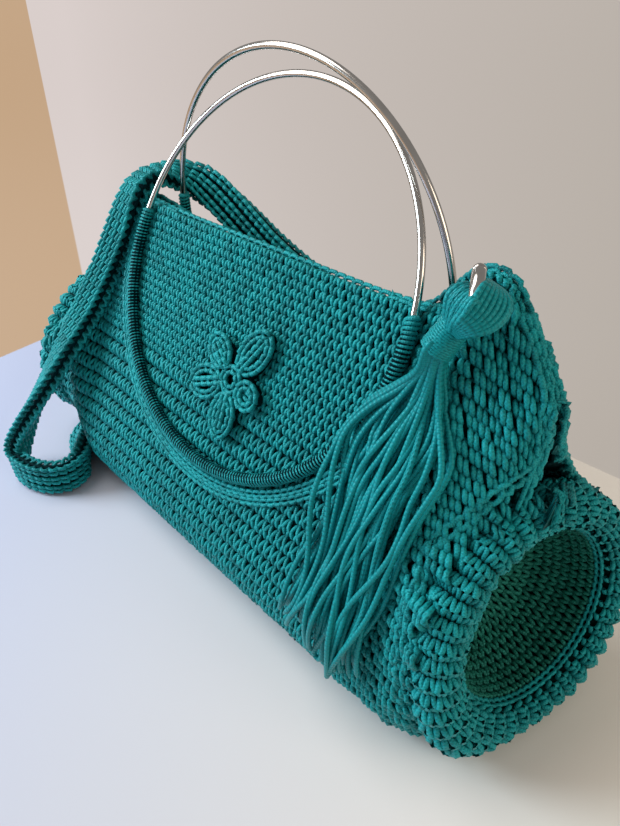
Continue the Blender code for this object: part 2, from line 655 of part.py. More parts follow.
def rod(radius, length, place, sides=10):
    """A round pin across the clip."""
    bm = bmesh.new()
    bmesh.ops.create_cone(bm, cap_ends=True, segments=sides, radius1=radius, radius2=radius,
                          depth=length, matrix=place @ Matrix.Rotation(math.pi / 2, 4, "X"))
    return bm


def build_clip(mat, gate_mat):
    """A ring clip: a fixed hook with a forked end, and a gate that turns on a pin in the fork."""
    tongue = CLIP_WIRE_RADIUS * 0.72
    slot = tongue + 2 * CLEARANCE
    pin_radius = CLIP_WIRE_RADIUS * 0.30
    hinge = clip_frame(GATE_LAST)
    hook = add_object("hook", clip_arc(GATE_LAST - FORK_REACH, GATE_FIRST + 372, 22), mat)
    notch = box((CLIP_WIRE_RADIUS * 3, slot, CLIP_WIRE_RADIUS * 4.4), hinge)
    tip_reach = (clip_point(GATE_FIRST) - clip_point(GATE_LAST)).length
    trim = CLIP_WIRE_RADIUS * 4
    beyond = box((trim, trim, trim), gate_frame(tip_reach + trim / 2))
    before = box((trim / 2, trim, trim), gate_frame(tip_reach + GATE_GAP - trim / 4))
    cuts = [add_object("notch", notch, mat), add_object("before", before, mat)]
    hook = combine("hook", hook, cuts, mat, "DIFFERENCE")
    pin = add_object("pin", rod(pin_radius, CLIP_WIRE_RADIUS * 1.6, hinge), mat)
    clip = combine("clip_hook", hook, [pin], mat)
    lever = add_object("lever", clip_arc(GATE_FIRST - 12, GATE_LAST - LEVER_START, 7), gate_mat)
    lever = combine("lever", lever, [add_object("beyond", beyond, mat)], gate_mat, "DIFFERENCE")
    blade = box((CLIP_WIRE_RADIUS * 1.5, tongue, CLIP_WIRE_RADIUS * 3.4),
                hinge @ Matrix.Translation((-0.0002, 0, -CLIP_WIRE_RADIUS * 0.9)))
    gate = combine("lever", lever, [add_object("blade", blade, gate_mat)], gate_mat)
    bore = rod(pin_radius + PIN_CLEARANCE, CLIP_WIRE_RADIUS * 4, hinge)
    bore = add_object("bore", bore, gate_mat)
    return clip, combine("clip_gate", gate, [bore], gate_mat, "DIFFERENCE")


def build_tab(mat):
    """A small crocheted loop sewn to the front of the right corner, which carries the clip."""
    frame = clip_frame(TAB_GRIP)
    minor = CORD_RADIUS * 1.7
    major = CLIP_WIRE_RADIUS + 2 * CLEARANCE + minor
    bm = bmesh.new()
    path = []
    for k in range(12):
        turn = 2 * math.pi * k / 12
        outward = Vector((math.cos(turn), math.sin(turn), 0))
        path.append((outward * major, outward, Vector((0, 0, 1)), 6, 0.0))
    tube(bm, path, minor, minor, closed=True)
    return add_object("corner_loop", bm, mat, frame)


def tassel_depth(z):
    """Depth of the tassel's middle: it lies on the ring sleeve, then hangs straight down."""
    lean = math.radians(FRONT_RING["lean"])
    plane = FRONT_RING["y"] + (z - FRONT_RING["z"]) * math.tan(lean)
    return max(plane - 0.0088, -HALF_DEPTH * 1.12)


def build_tassel(mat):
    """Locks of cord, a wrapped neck and a head loop through the clip, fused into one piece."""
    grip = clip_frame(TASSEL_GRIP)
    pieces = []
    axis = (NECK_LOW - NECK_TOP).normalized()
    side = axis.cross(Vector((0, 1, 0))).normalized()
    front = axis.cross(side)
    bm = bmesh.new()
    path = []
    for share, size in ((-0.15, 0.70), (0.05, 1.0), (0.5, 0.90), (1.0, 1.0), (1.3, 0.75)):
        path.append((NECK_TOP.lerp(NECK_LOW, share), side * size, front * size, 10, 0.0))
    tube(bm, path, NECK_RADIUS, NECK_RADIUS)
    pieces.append(add_object("neck", bm, mat))
    for number, (tip_x, tip_z, bow) in enumerate(LOCKS):
        spread = (number - (len(LOCKS) - 1) / 2) / len(LOCKS)
        tip = Vector((tip_x * HALF_LENGTH, 0, tip_z * TASSEL_LENGTH))
        start = NECK_LOW + side * spread * NECK_RADIUS * -1.2 - axis * 0.004
        bm = bmesh.new()
        path = []
        for k in range(LOCK_STATIONS):
            t = k / (LOCK_STATIONS - 1)
            z = start.z + (tip.z - start.z) * t
            x = start.x + (tip.x - start.x) * t**0.8 + bow * HALF_LENGTH * t * (1 - t)
            y = start.y * (1 - min(1, 4 * t)) + tassel_depth(z) * min(1, 4 * t)
            size = (0.55 + 1.9 * t * (1 - t) * 0.9 + 0.1) * (1.0 if t < 1 else 0.8)
            path.append((Vector((x, y, z)), Vector((size, 0, 0)), Vector((0, size, size * 0.3)),
                         LOCK_SIDES, 0.0))
        tube(bm, path, 0.0052, 0.0036)
        pieces.append(add_object("lock", bm, mat))
    bm = bmesh.new()
    path = []
    reach = CLIP_WIRE_RADIUS + 2 * CLEARANCE + LOOP_RADIUS
    wire = grip.translation
    base = NECK_TOP + axis * 0.003
    tangent = grip.to_3x3() @ Vector((0, 0, 1))
    down = base - wire
    down = (down - tangent * down.dot(tangent)).normalized()
    aside = down.cross(tangent)
    for k in range(7):
        turn = math.radians(-90 + 30 * k)
        path.append(wire - down * reach * math.cos(turn) + aside * reach * math.sin(turn))
    for share, wide in ((0.5, 0.85), (1.0, 0.45), (1.0, -0.45), (0.5, -0.85)):
        path.append(wire.lerp(base, share) + aside * reach * wide)
    ring = []
    for k, centre in enumerate(path):
        ahead = (path[(k + 1) % len(path)] - path[k - 1]).normalized()
        across = tangent
        ring.append((centre, ahead.cross(across).normalized(), across, 6, 0.0))
    tube(bm, ring, LOOP_RADIUS, LOOP_RADIUS * 1.3, closed=True)
    pieces.append(add_object("head", bm, mat))
    return combine("tassel", pieces[0], pieces[1:], mat)


def build():
    clear_scene()
    teal = (0.020, 0.235, 0.220)
    steel = (0.780, 0.770, 0.750)
    build_wall("body_front", -1, material("body_front_cord", teal, 0.42))
    build_wall("body_back", 1, material("body_back_cord", teal, 0.42))
    build_end("end_right", 1, material("end_right_cord", (0.015, 0.185, 0.155), 0.45))
    build_end("end_left", -1, material("end_left_cord", (0.015, 0.200, 0.180), 0.45))
    build_ring("ring_front", FRONT_RING, material("ring_front_steel", steel, 0.12, 1.0))
    build_ring("ring_back", BACK_RING, material("ring_back_steel", steel, 0.12, 1.0))
    build_sleeve("sleeve_front", FRONT_RING, material("sleeve_front_cord", teal, 0.40))
    build_sleeve("sleeve_back", BACK_RING, material("sleeve_back_cord", teal, 0.40))
    build_motif(material("motif_cord", (0.024, 0.270, 0.260), 0.40))
    build_strap(material("strap_cord", (0.018, 0.220, 0.205), 0.42))
    build_tab(material("corner_loop_cord", teal, 0.42))
    build_clip(material("clip_hook_steel", (0.80, 0.77, 0.73), 0.15, 1.0),
               material("clip_gate_steel", (0.80, 0.77, 0.73), 0.15, 1.0))
    build_tassel(material("tassel_cord", (0.026, 0.290, 0.260), 0.36))


build()
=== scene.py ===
import math

import bmesh
import bpy
import numpy as np
from mathutils import Matrix, Vector
from mathutils.bvhtree import BVHTree


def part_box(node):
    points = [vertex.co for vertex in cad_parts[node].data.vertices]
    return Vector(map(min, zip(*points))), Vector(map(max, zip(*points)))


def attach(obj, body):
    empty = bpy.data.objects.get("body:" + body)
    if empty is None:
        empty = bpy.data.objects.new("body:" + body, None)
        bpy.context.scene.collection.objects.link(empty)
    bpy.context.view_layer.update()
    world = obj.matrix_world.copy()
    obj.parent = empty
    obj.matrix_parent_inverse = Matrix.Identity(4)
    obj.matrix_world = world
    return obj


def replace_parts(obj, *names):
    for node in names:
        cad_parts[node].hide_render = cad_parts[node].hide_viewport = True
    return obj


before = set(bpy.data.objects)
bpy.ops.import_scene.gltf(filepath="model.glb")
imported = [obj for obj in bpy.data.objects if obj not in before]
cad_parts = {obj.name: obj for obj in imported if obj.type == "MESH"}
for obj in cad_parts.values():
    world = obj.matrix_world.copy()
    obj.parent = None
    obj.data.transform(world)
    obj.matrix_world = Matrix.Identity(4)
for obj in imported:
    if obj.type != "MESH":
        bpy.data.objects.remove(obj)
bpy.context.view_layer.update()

rng = np.random.default_rng(7)


# Surroundings
# A pale ledge, a large soft window on the left and a warmer room on the right. The ledge's colour
# has painted light in it: cool blue at the front left, warm at the back right. Past the ledge the
# surface glows as painted light, a dull beige painted lighter to the left, brown on the far left.
# The camera looks down at the bag's front right, as a phone held close does.
FOCAL_PIXELS = 619.0
LONG_SIDE_PIXELS = 826.0
CAMERA_PLACE = (0.2297, -0.1856, 0.2867)
CAMERA_DOWN = 35.6
CAMERA_HEADING = 45.8
LEDGE_LEFT = (187.8, 0.3189)
LEDGE_BACK = (92.7, 0.1846)
BROWN_EDGE = (246.7, 0.0838)
# The point below the camera that the painted shading on the glowing surface fans out from.
GLOW_SHADING_FROM = (0.23, -0.19)

lens = bpy.data.cameras.new("camera")
lens.sensor_width = 36.0
lens.lens = FOCAL_PIXELS * lens.sensor_width / LONG_SIDE_PIXELS
lens.clip_start = 0.01
camera = bpy.data.objects.new("camera", lens)
camera.location = CAMERA_PLACE
camera.rotation_euler = (math.radians(90 - CAMERA_DOWN), 0, math.radians(CAMERA_HEADING))
bpy.context.scene.collection.objects.link(camera)
bpy.context.scene.camera = camera
bpy.context.scene.view_settings.view_transform = "Standard"


def add_light(name, place, aim, size, power, colour):
    data = bpy.data.lights.new(name, "AREA")
    data.shape = "DISK"
    data.size = size
    data.energy = power
    data.color = colour
    thing = bpy.data.objects.new(name, data)
    thing.location = place
    thing.rotation_euler = (Vector(aim) - Vector(place)).to_track_quat("-Z", "Y").to_euler()
    bpy.context.scene.collection.objects.link(thing)


add_light("window", (-0.84, -0.74, 0.60), (0.0, 0.0, 0.08), 0.55, 14.6, (0.74, 0.90, 1.0))
add_light("ceiling", (-0.55, -0.25, 1.05), (0.0, 0.0, 0.1), 0.8, 6.5, (1.0, 0.96, 0.92))
add_light("room", (0.9, 0.1, 0.5), (0.1, 0.0, 0.08), 0.6, 2.5, (1.0, 0.86, 0.70))

world = bpy.data.worlds.new("room")
world.use_nodes = True
world.node_tree.nodes["Background"].inputs["Color"].default_value = (0.92, 0.89, 0.86, 1)
world.node_tree.nodes["Background"].inputs["Strength"].default_value = 0.30
bpy.context.scene.world = world


class Tone:
    """A number or colour that varies over a surface. Sums on it add nodes to its material."""

    def __init__(self, tree, socket):
        self.tree = tree
        self.socket = socket

    def node(self, kind, settings, values, output=0):
        made = self.tree.nodes.new(kind)
        for name, value in settings.items():
            setattr(made, name, value)
        for name, value in values.items():
            if isinstance(value, Tone):
                self.tree.links.new(value.socket, made.inputs[name])
            else:
                made.inputs[name].default_value = value
        return Tone(self.tree, made.outputs[output])

    def math(self, operation, *numbers):
        return self.node("ShaderNodeMath", {"operation": operation}, dict(enumerate(numbers)))

    def __add__(self, other):
        return self.math("ADD", self, other)

    def __radd__(self, other):
        return self.math("ADD", other, self)

    def __sub__(self, other):
        return self.math("SUBTRACT", self, other)

    def __rsub__(self, other):
        return self.math("SUBTRACT", other, self)

    def __mul__(self, other):
        return self.math("MULTIPLY", self, other)

    def __rmul__(self, other):
        return self.math("MULTIPLY", other, self)

    def wave(self):
        return self.math("SINE", self * (2 * math.pi))

    def clamped(self):
        return self.node("ShaderNodeClamp", {}, {"Value": self})

    def mixed(self, low, high):
        colours = {"data_type": "RGBA"}
        return self.node("ShaderNodeMix", colours, {0: self, 6: low, 7: high}, output=2)


def start_material(name):
    mat = bpy.data.materials.new(name)
    mat.use_nodes = True
    shader = mat.node_tree.nodes["Principled BSDF"]
    places = mat.node_tree.nodes.new("ShaderNodeTexCoord")
    return mat, shader, Tone(mat.node_tree, places.outputs["Object"])


def feed(shader, name, tone):
    tone.tree.links.new(tone.socket, shader.inputs[name])


bm = bmesh.new()
bmesh.ops.create_grid(bm, x_segments=1, y_segments=1, size=40.0)
mesh = bpy.data.meshes.new("ledge")
bm.to_mesh(mesh)
bm.free()
ledge = bpy.data.objects.new("ledge", mesh)
bpy.context.scene.collection.objects.link(ledge)
paint, shader, spot = start_material("ledge_painted_light")
mesh.materials.append(paint)
along = spot.node("ShaderNodeSeparateXYZ", {}, {"Vector": spot})
deep = spot.node("ShaderNodeSeparateXYZ", {}, {"Vector": spot}, "Y")


def past(edge):
    """Is 1 beyond a straight edge, given by the way it faces and how far off it lies."""
    facing, reach = math.radians(edge[0]), edge[1]
    return ((along * math.cos(facing) + deep * math.sin(facing) - reach) * 600).clamped()


# Painted light: the ledge is a darker cool blue towards the front left for the window's light, and a
# warm pale tone towards the back right for the room's light.
warm_light_share = ((along + deep) * 1.8 + 0.55).clamped()
top = warm_light_share.mixed((0.475, 0.50, 0.655, 1), (0.92, 0.86, 0.78, 1))
# Painted light: past the ledge's left and back edges the surface is near black and glows, standing in
# for lit walls.
beyond = (past(LEDGE_LEFT) + past(LEDGE_BACK)).clamped()
feed(shader, "Base Color", beyond.mixed(top, (0.02, 0.02, 0.02, 1)))
# Painted shade on the glow: the beige is lighter towards the left, fanning out from a point below the
# camera, and brown past the far left edge.
across, away = GLOW_SHADING_FROM[0] - along, deep - GLOW_SHADING_FROM[1]
bearing = across.math("DIVIDE", across, away.math("MAXIMUM", away, 0.05))
beige_glow_shading = (bearing * 0.55 - 0.14).clamped().mixed((0.44, 0.395, 0.35, 1), (0.66, 0.585, 0.565, 1))
wall_glow = past(BROWN_EDGE).mixed(beige_glow_shading, (0.52, 0.345, 0.205, 1))
feed(shader, "Emission Color", beyond.mixed((0, 0, 0, 1), wall_glow))
shader.inputs["Emission Strength"].default_value = 1.0
shader.inputs["Roughness"].default_value = 0.7


# Body, front and back halves
# A barrel of single crochet in shiny 2 mm cord, worked in rows along the bag. The rows are
# paired into ribs low down, and small V stitches fill the upper panels. It is one fabric,
# sewn to the round ends and closed over the corners.
CORD = 0.0020
STITCH_WIDTH = 0.0050
ROW_HEIGHT = 0.0044
BODY_STEP = 0.0025
RIB_TOP = 0.104
FIRST_ROW = 2
GUSSET_START = 0.114
CORNER_WIDTH = 0.0062
CORNER_ROWS = 1.15
CORNER_MIDDLE = 0.140
CELL_REACH = 0.0055
CORNER_REACH = 0.0074
END_CENTRE = (0.1753, -0.0010, 0.0605)
END_OVERLAP = 0.009
COVERED_RADIUS = 0.063
EDGE_LINK = 0.0052
EDGE_WIDTH = 0.0045
SEAM_WIDTH = 0.0064
STITCH_LIFT = -0.0007
# The even level of painted shade given to cords that are not crochet stitches.
PLAIN_SHADE_HEIGHT = 0.66
FLOOR_SINK = 0.0018
SINK_TOP = 0.007
SINK_RANGE = 0.004


def cord_finish(name, deep, bright, rough=0.40, pitch=0.0011, braid=3.0):
    """Satin braided cord with a fine slanted braid: a painted highlight makes it bright on its crown,
    painted shade makes it deep in the gaps.
    """
    mat, shader, place = start_material(name)
    along = place.node("ShaderNodeAttribute", {"attribute_name": "along"}, {}, "Fac")
    around = place.node("ShaderNodeAttribute", {"attribute_name": "around"}, {}, "Fac")
    shade_height = place.node("ShaderNodeAttribute", {"attribute_name": "shade_height"}, {}, "Fac")
    tint = place.node("ShaderNodeAttribute", {"attribute_name": "tint"}, {}, "Fac")
    left = (along * (1 / pitch) + around * braid).wave()
    right = (along * (1 / pitch) - around * braid).wave()
    weave = left.math("MAXIMUM", left, right) * 0.5 + 0.5
    patches = place.node("ShaderNodeTexNoise", {}, {"Vector": place, "Scale": 28.0, "Detail": 2.0})
    # Painted light: each stitch's height paints a highlight on its crown and shade in its gaps; the
    # braid, the random tint and the patches vary the tone as well.
    level = shade_height * 0.72 + weave * 0.40 + tint * 0.17 + (patches - 0.5) * 0.40 - 0.12
    feed(shader, "Base Color", level.clamped().mixed((*deep, 1), (*bright, 1)))
    feed(shader, "Roughness", rough + 0.14 * (1.0 - weave))
    bump = place.node("ShaderNodeBump", {}, {"Strength": 0.55, "Distance": 0.0003, "Height": weave})
    feed(shader, "Normal", bump)
    shader.inputs["Specular IOR Level"].default_value = 0.5
    shader.inputs["Specular Tint"].default_value = (0.25, 0.90, 0.95, 1)
    return mat


def backing_finish(name, colour):
    """The fabric seen between stitches: the same cord in shadow, with a knobbly surface."""
    mat, shader, place = start_material(name)
    knots = place.node("ShaderNodeTexVoronoi", {}, {"Vector": place, "Scale": 240.0}, "Distance")
    shade = tuple(c * 0.35 for c in colour)
    feed(shader, "Base Color", (knots * 1.3).clamped().mixed((*colour, 1), (*shade, 1)))
    bump = place.node("ShaderNodeBump", {"invert": True},
                      {"Strength": 0.9, "Distance": 0.001, "Height": knots})
    feed(shader, "Normal", bump)
    shader.inputs["Roughness"].default_value = 0.8
    shader.inputs["Specular IOR Level"].default_value = 0.15
    shader.inputs["Specular Tint"].default_value = (0.1, 0.8, 0.9, 1)
    return mat


def add_piece(name, bm_or_mesh, finish, body="bag"):
    """Link a finished mesh as a piece that rides on a body."""
    mesh = bm_or_mesh
    if isinstance(bm_or_mesh, bmesh.types.BMesh):
        mesh = bpy.data.meshes.new(name)
        bm_or_mesh.to_mesh(mesh)
        bm_or_mesh.free()
    mesh.name = name
    mesh.materials.clear()
    mesh.materials.append(finish)
    mesh.shade_smooth()
    thing = bpy.data.objects.new(name, mesh)
    bpy.context.scene.collection.objects.link(thing)
    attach(thing, body)
    return thing


def add_backing(name, node, depth, finish):
    """The fabric's own thickness, just under the stitches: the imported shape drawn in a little."""
    bm = bmesh.new()
    bm.from_mesh(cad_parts[node].data)
    bmesh.ops.remove_doubles(bm, verts=bm.verts, dist=0.00001)
    bm.normal_update()
    for vert, normal in [(v, v.normal.copy()) for v in bm.verts]:
        vert.co -= normal * depth
    thing = add_piece(name, bm, finish)
    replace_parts(thing, node)
    return thing


def draw_cord(bm, route, thickness, sides, closed=False, up=(0, 0, 1)):
    """Pull a round section along a route, noting how far along and around each point lies."""
    along_layer = bm.verts.layers.float.get("along") or bm.verts.layers.float.new("along")
    around_layer = bm.verts.layers.float.get("around") or bm.verts.layers.float.new("around")
    shade_height_layer = bm.verts.layers.float.get("shade_height") or bm.verts.layers.float.new("shade_height")
    route = [Vector(p) for p in route]
    count = len(route)
    widths = thickness if isinstance(thickness, (list, tuple)) else [thickness] * count
    along = 0.0
    side = Vector(up)
    ring, edges, place = [], [], None
    for k, point in enumerate(route):
        after = route[(k + 1) % count] if closed or k + 1 < count else point
        before = route[k - 1] if closed or k > 0 else point
        ahead = (after - before).normalized()
        side = (side - ahead * side.dot(ahead)).normalized()
        turn = Matrix((side, ahead.cross(side), ahead)).transposed().to_4x4()
        here = Matrix.Translation(point) @ turn @ Matrix.Diagonal((widths[k], widths[k], 1, 1))
        if place is None:
            made = bmesh.ops.create_circle(bm, segments=sides, radius=0.5, matrix=here)
            ring = made["verts"]
        else:
            along += (point - route[k - 1]).length
            made = bmesh.ops.extrude_edge_only(bm, edges=edges)["geom"]
            ring = [item for item in made if isinstance(item, bmesh.types.BMVert)]
            bmesh.ops.transform(bm, matrix=here @ place.inverted(), verts=ring)
        kept = set(ring)
        edges = [e for v in ring for e in v.link_edges if e.other_vert(v) in kept]
        edges = list(dict.fromkeys(edges))
        place = here
        back = here.inverted()
        for vert in ring:
            local = back @ vert.co
            vert[along_layer] = along
            # Plain cords get one even level of painted shade.
            vert[shade_height_layer] = PLAIN_SHADE_HEIGHT
            vert[around_layer] = math.atan2(local.y, local.x) / (2 * math.pi) + 0.5
        if k == 0:
            first_edges = edges
    if closed:
        bmesh.ops.bridge_loops(bm, edges=edges + first_edges)


def smooth_route(points, steps):
    """A smooth route through given points."""
    points = [Vector(p) for p in points]
    route = []
    for i in range(len(points) - 1):
        before, a = points[max(i - 1, 0)], points[i]
        b, after = points[i + 1], points[min(i + 2, len(points) - 1)]
        for k in range(steps):
            t = k / steps
            route.append(0.5 * (2 * a + (b - before) * t + (2 * before - 5 * a + 4 * b - after)
                                * t**2 + (3 * a - before - 3 * b + after) * t**3))
    return route + [points[-1]]


def v_stitch(width, height, cord, apex, spread, tip):
    """Two legs that start together and spread upwards, scaled to a cell 1 wide and 1 high.

    Apex, spread and tip are heights above the fabric at the closed end, along the legs and at
    their open ends.
    """
    bm = bmesh.new()
    for hand in (-1, 1):
        legs = [(width / 2 + hand * cord * 0.16, -0.08 * height, apex),
                (width / 2 + hand * cord * 0.42, 0.24 * height, apex * 0.25 + spread * 0.75),
                (width / 2 + hand * width * 0.28, 0.62 * height, spread),
                (width / 2 + hand * width * 0.40, 1.02 * height, tip)]
        draw_cord(bm, legs, cord, 5)
    return unit_cell(bm, width, height)


def pair_stitch(width, height, cord, rise):
    """A plump stitch of two cords that lean together, over a low bar that fills the row's foot."""
    bm = bmesh.new()
    for shift in (-0.21, 0.21):
        legs = [((0.72 + shift) * width, -0.04 * height, -rise),
                ((0.64 + shift) * width, 0.24 * height, 0.7 * rise),
                ((0.50 + shift) * width, 0.52 * height, rise),
                ((0.36 + shift) * width, 0.80 * height, 0.6 * rise),
                ((0.28 + shift) * width, 1.08 * height, -rise)]
        draw_cord(bm, legs, cord, 5)
    bar = [(-0.05 * width, 0.02 * height, -0.4 * rise), (1.05 * width, 0.10 * height, -0.4 * rise)]
    draw_cord(bm, bar, cord * 0.8, 4)
    return unit_cell(bm, width, height)


def chain_link(length, width, cord, rise, spread=0.33):
    """One link of a crocheted chain: a drop-shaped loop whose head holds the next one."""
    bm = bmesh.new()
    for hand in (-1, 1):
        legs = [(-0.12 * length, hand * 0.24 * spread * width, -0.4 * rise),
                (0.28 * length, hand * 0.90 * spread * width, 0.8 * rise),
                (0.74 * length, hand * spread * width, rise),
                (1.10 * length, hand * 0.36 * spread * width, 0.1 * rise)]
        draw_cord(bm, legs, cord, 5)
    return unit_cell(bm, length, width)


def unit_cell(bm, width, height):
    """Scale a stitch to a cell 1 wide and 1 high."""
    bmesh.ops.recalc_face_normals(bm, faces=bm.faces)
    bmesh.ops.transform(bm, matrix=Matrix.Diagonal((1 / width, 1 / height, 1, 1)), verts=bm.verts)
    return bm


def crochet(name, stitch, cells, surface, finish, body="bag"):
    """Repeat one stitch over a surface as one joined fabric, no lower than the ledge.

    A cell is u, v, its width, its height, a lift, a flip (0 or 1) and a tint.
    """
    mesh = bpy.data.meshes.new(name + "_stitch")
    stitch.to_mesh(mesh)
    stitch.free()
    thing = bpy.data.objects.new(name + "_stitch", mesh)
    bpy.context.scene.collection.objects.link(thing)
    copies = thing.modifiers.new("copies", "ARRAY")
    copies.count = len(cells)
    copies.use_relative_offset = False
    copies.use_constant_offset = True
    copies.constant_offset_displace = (0, 0, 0)
    bpy.context.view_layer.update()
    shown = thing.evaluated_get(bpy.context.evaluated_depsgraph_get())
    fabric = bpy.data.meshes.new_from_object(shown)
    bpy.data.objects.remove(thing)
    size = len(mesh.vertices)
    cells = np.array(cells, dtype=float)
    spots = np.empty(len(fabric.vertices) * 3, np.float32)
    fabric.vertices.foreach_get("co", spots)
    spots = spots.reshape(len(cells), size, 3).astype(float)
    lift, flip, tint = cells[:, 4, None], cells[:, 5, None], cells[:, 6, None]
    across = spots[:, :, 0] * (1 - flip) + (1 - spots[:, :, 0]) * flip
    rise = spots[:, :, 1] * (1 - flip) + (1 - spots[:, :, 1]) * flip
    u = cells[:, 0, None] + cells[:, 2, None] * across
    v = cells[:, 1, None] + cells[:, 3, None] * rise
    points, normals = surface(u, v)
    height = spots[:, :, 2] + lift
    points = points + normals * height[:, :, None]
    points[:, :, 2] = np.maximum(points[:, :, 2], 0.0)
    fabric.vertices.foreach_set("co", points.astype(np.float32).ravel())
    # Painted light: each stitch's height, from its lowest point to its crown, sets how shaded or lit its
    # colour is.
    low, high = spots[:, :, 2].min(), spots[:, :, 2].max()
    shade_height = ((spots[:, :, 2] - low) / (high - low)).astype(np.float32)
    fabric.attributes["shade_height"].data.foreach_set("value", shade_height.ravel())
    shade = fabric.attributes.new("tint", "FLOAT", "POINT")
    shade.data.foreach_set("value", np.repeat(tint, size, axis=1).astype(np.float32).ravel())
    fabric.update()
    bpy.data.meshes.remove(mesh)
    return add_piece(name, fabric, finish, body)


def blend_grid(points, normals, u_first, u_step, v_step, closed=False):
    """A surface that is read between the points of a grid."""
    def surface(u, v):
        a = (u - u_first) / u_step
        if closed:
            a = a % (points.shape[0] - 1)
        a = np.clip(a, 0, points.shape[0] - 1.001)
        b = np.clip(v / v_step, 0, points.shape[1] - 1.001)
        i, j = a.astype(int), b.astype(int)
        s, t = (a - i)[..., None], (b - j)[..., None]

        def read(grid):
            return ((grid[i, j] * (1 - s) + grid[i + 1, j] * s) * (1 - t)
                    + (grid[i, j + 1] * (1 - s) + grid[i + 1, j + 1] * s) * t)

        facing = read(normals)
        return read(points), facing / np.linalg.norm(facing, axis=-1, keepdims=True)
    return surface


def grid_normals(points, outward, closed=False):
    """Unit normals of a grid of points, turned to the side that outward points to."""
    if closed:
        wrapped = np.concatenate([points[-2:-1], points, points[1:2]])
        across = np.gradient(wrapped, axis=0)[1:-1]
    else:
        across = np.gradient(points, axis=0)
    normals = np.cross(across, np.gradient(points, axis=1))
    normals /= np.linalg.norm(normals, axis=-1, keepdims=True) + 1e-12
    sign = np.sign((normals * outward).sum(axis=-1, keepdims=True))
    return normals * np.where(sign == 0, 1, sign)


def even_angles(hit, angles, spacing):
    """Angles whose hits lie evenly spaced along a profile, carried on past its last hit."""
    spots = [(angle, hit(angle)) for angle in angles]
    spots = [(angle, spot) for angle, spot in spots if spot is not None]
    travel = [0.0]
    for one, two in zip(spots, spots[1:]):
        travel.append(travel[-1] + (two[1] - one[1]).length)
    turned = [spot[0] for spot in spots]
    spare = np.arange(1, 60)
    reach = np.concatenate([travel, travel[-1] + (travel[-1] - travel[-2]) * spare])
    turned = np.concatenate([turned, turned[-1] + (turned[-1] - turned[-2]) * spare])
    return np.interp(np.arange(0, reach[-1], spacing), reach, turned)


def ribbon(centres, facing, width):
    """A narrow surface along a line: u runs along it in metres, v across it from -0.5 to 0.5."""
    centres, facing = np.array(centres), np.array(facing)
    steps = np.linalg.norm(np.diff(centres, axis=0), axis=1)
    travel = np.concatenate([[0.0], np.cumsum(steps)])
    side = np.cross(facing, np.gradient(centres, axis=0))
    side /= np.linalg.norm(side, axis=1, keepdims=True)

    def surface(u, v):
        u = np.clip(u, 0, travel[-1])

        def read(rows):
            return np.stack([np.interp(u, travel, rows[:, k]) for k in range(3)], axis=-1)

        normals = read(facing)
        normals /= np.linalg.norm(normals, axis=-1, keepdims=True)
        return read(centres) + read(side) * v[..., None] * width, normals
    return surface, travel[-1]


def chain_cells(length, link, rows, lift=0.0):
    """Cells for chains that run side by side along a ribbon, for each row its place across."""
    count = max(1, round(length / link))
    cells = []
    for across in rows:
        for k in range(count):
            cells.append((k * length / count, across, length / count, 1.0 / len(rows),
                          lift, 0.0, rng.uniform(-1, 1)))
    return cells


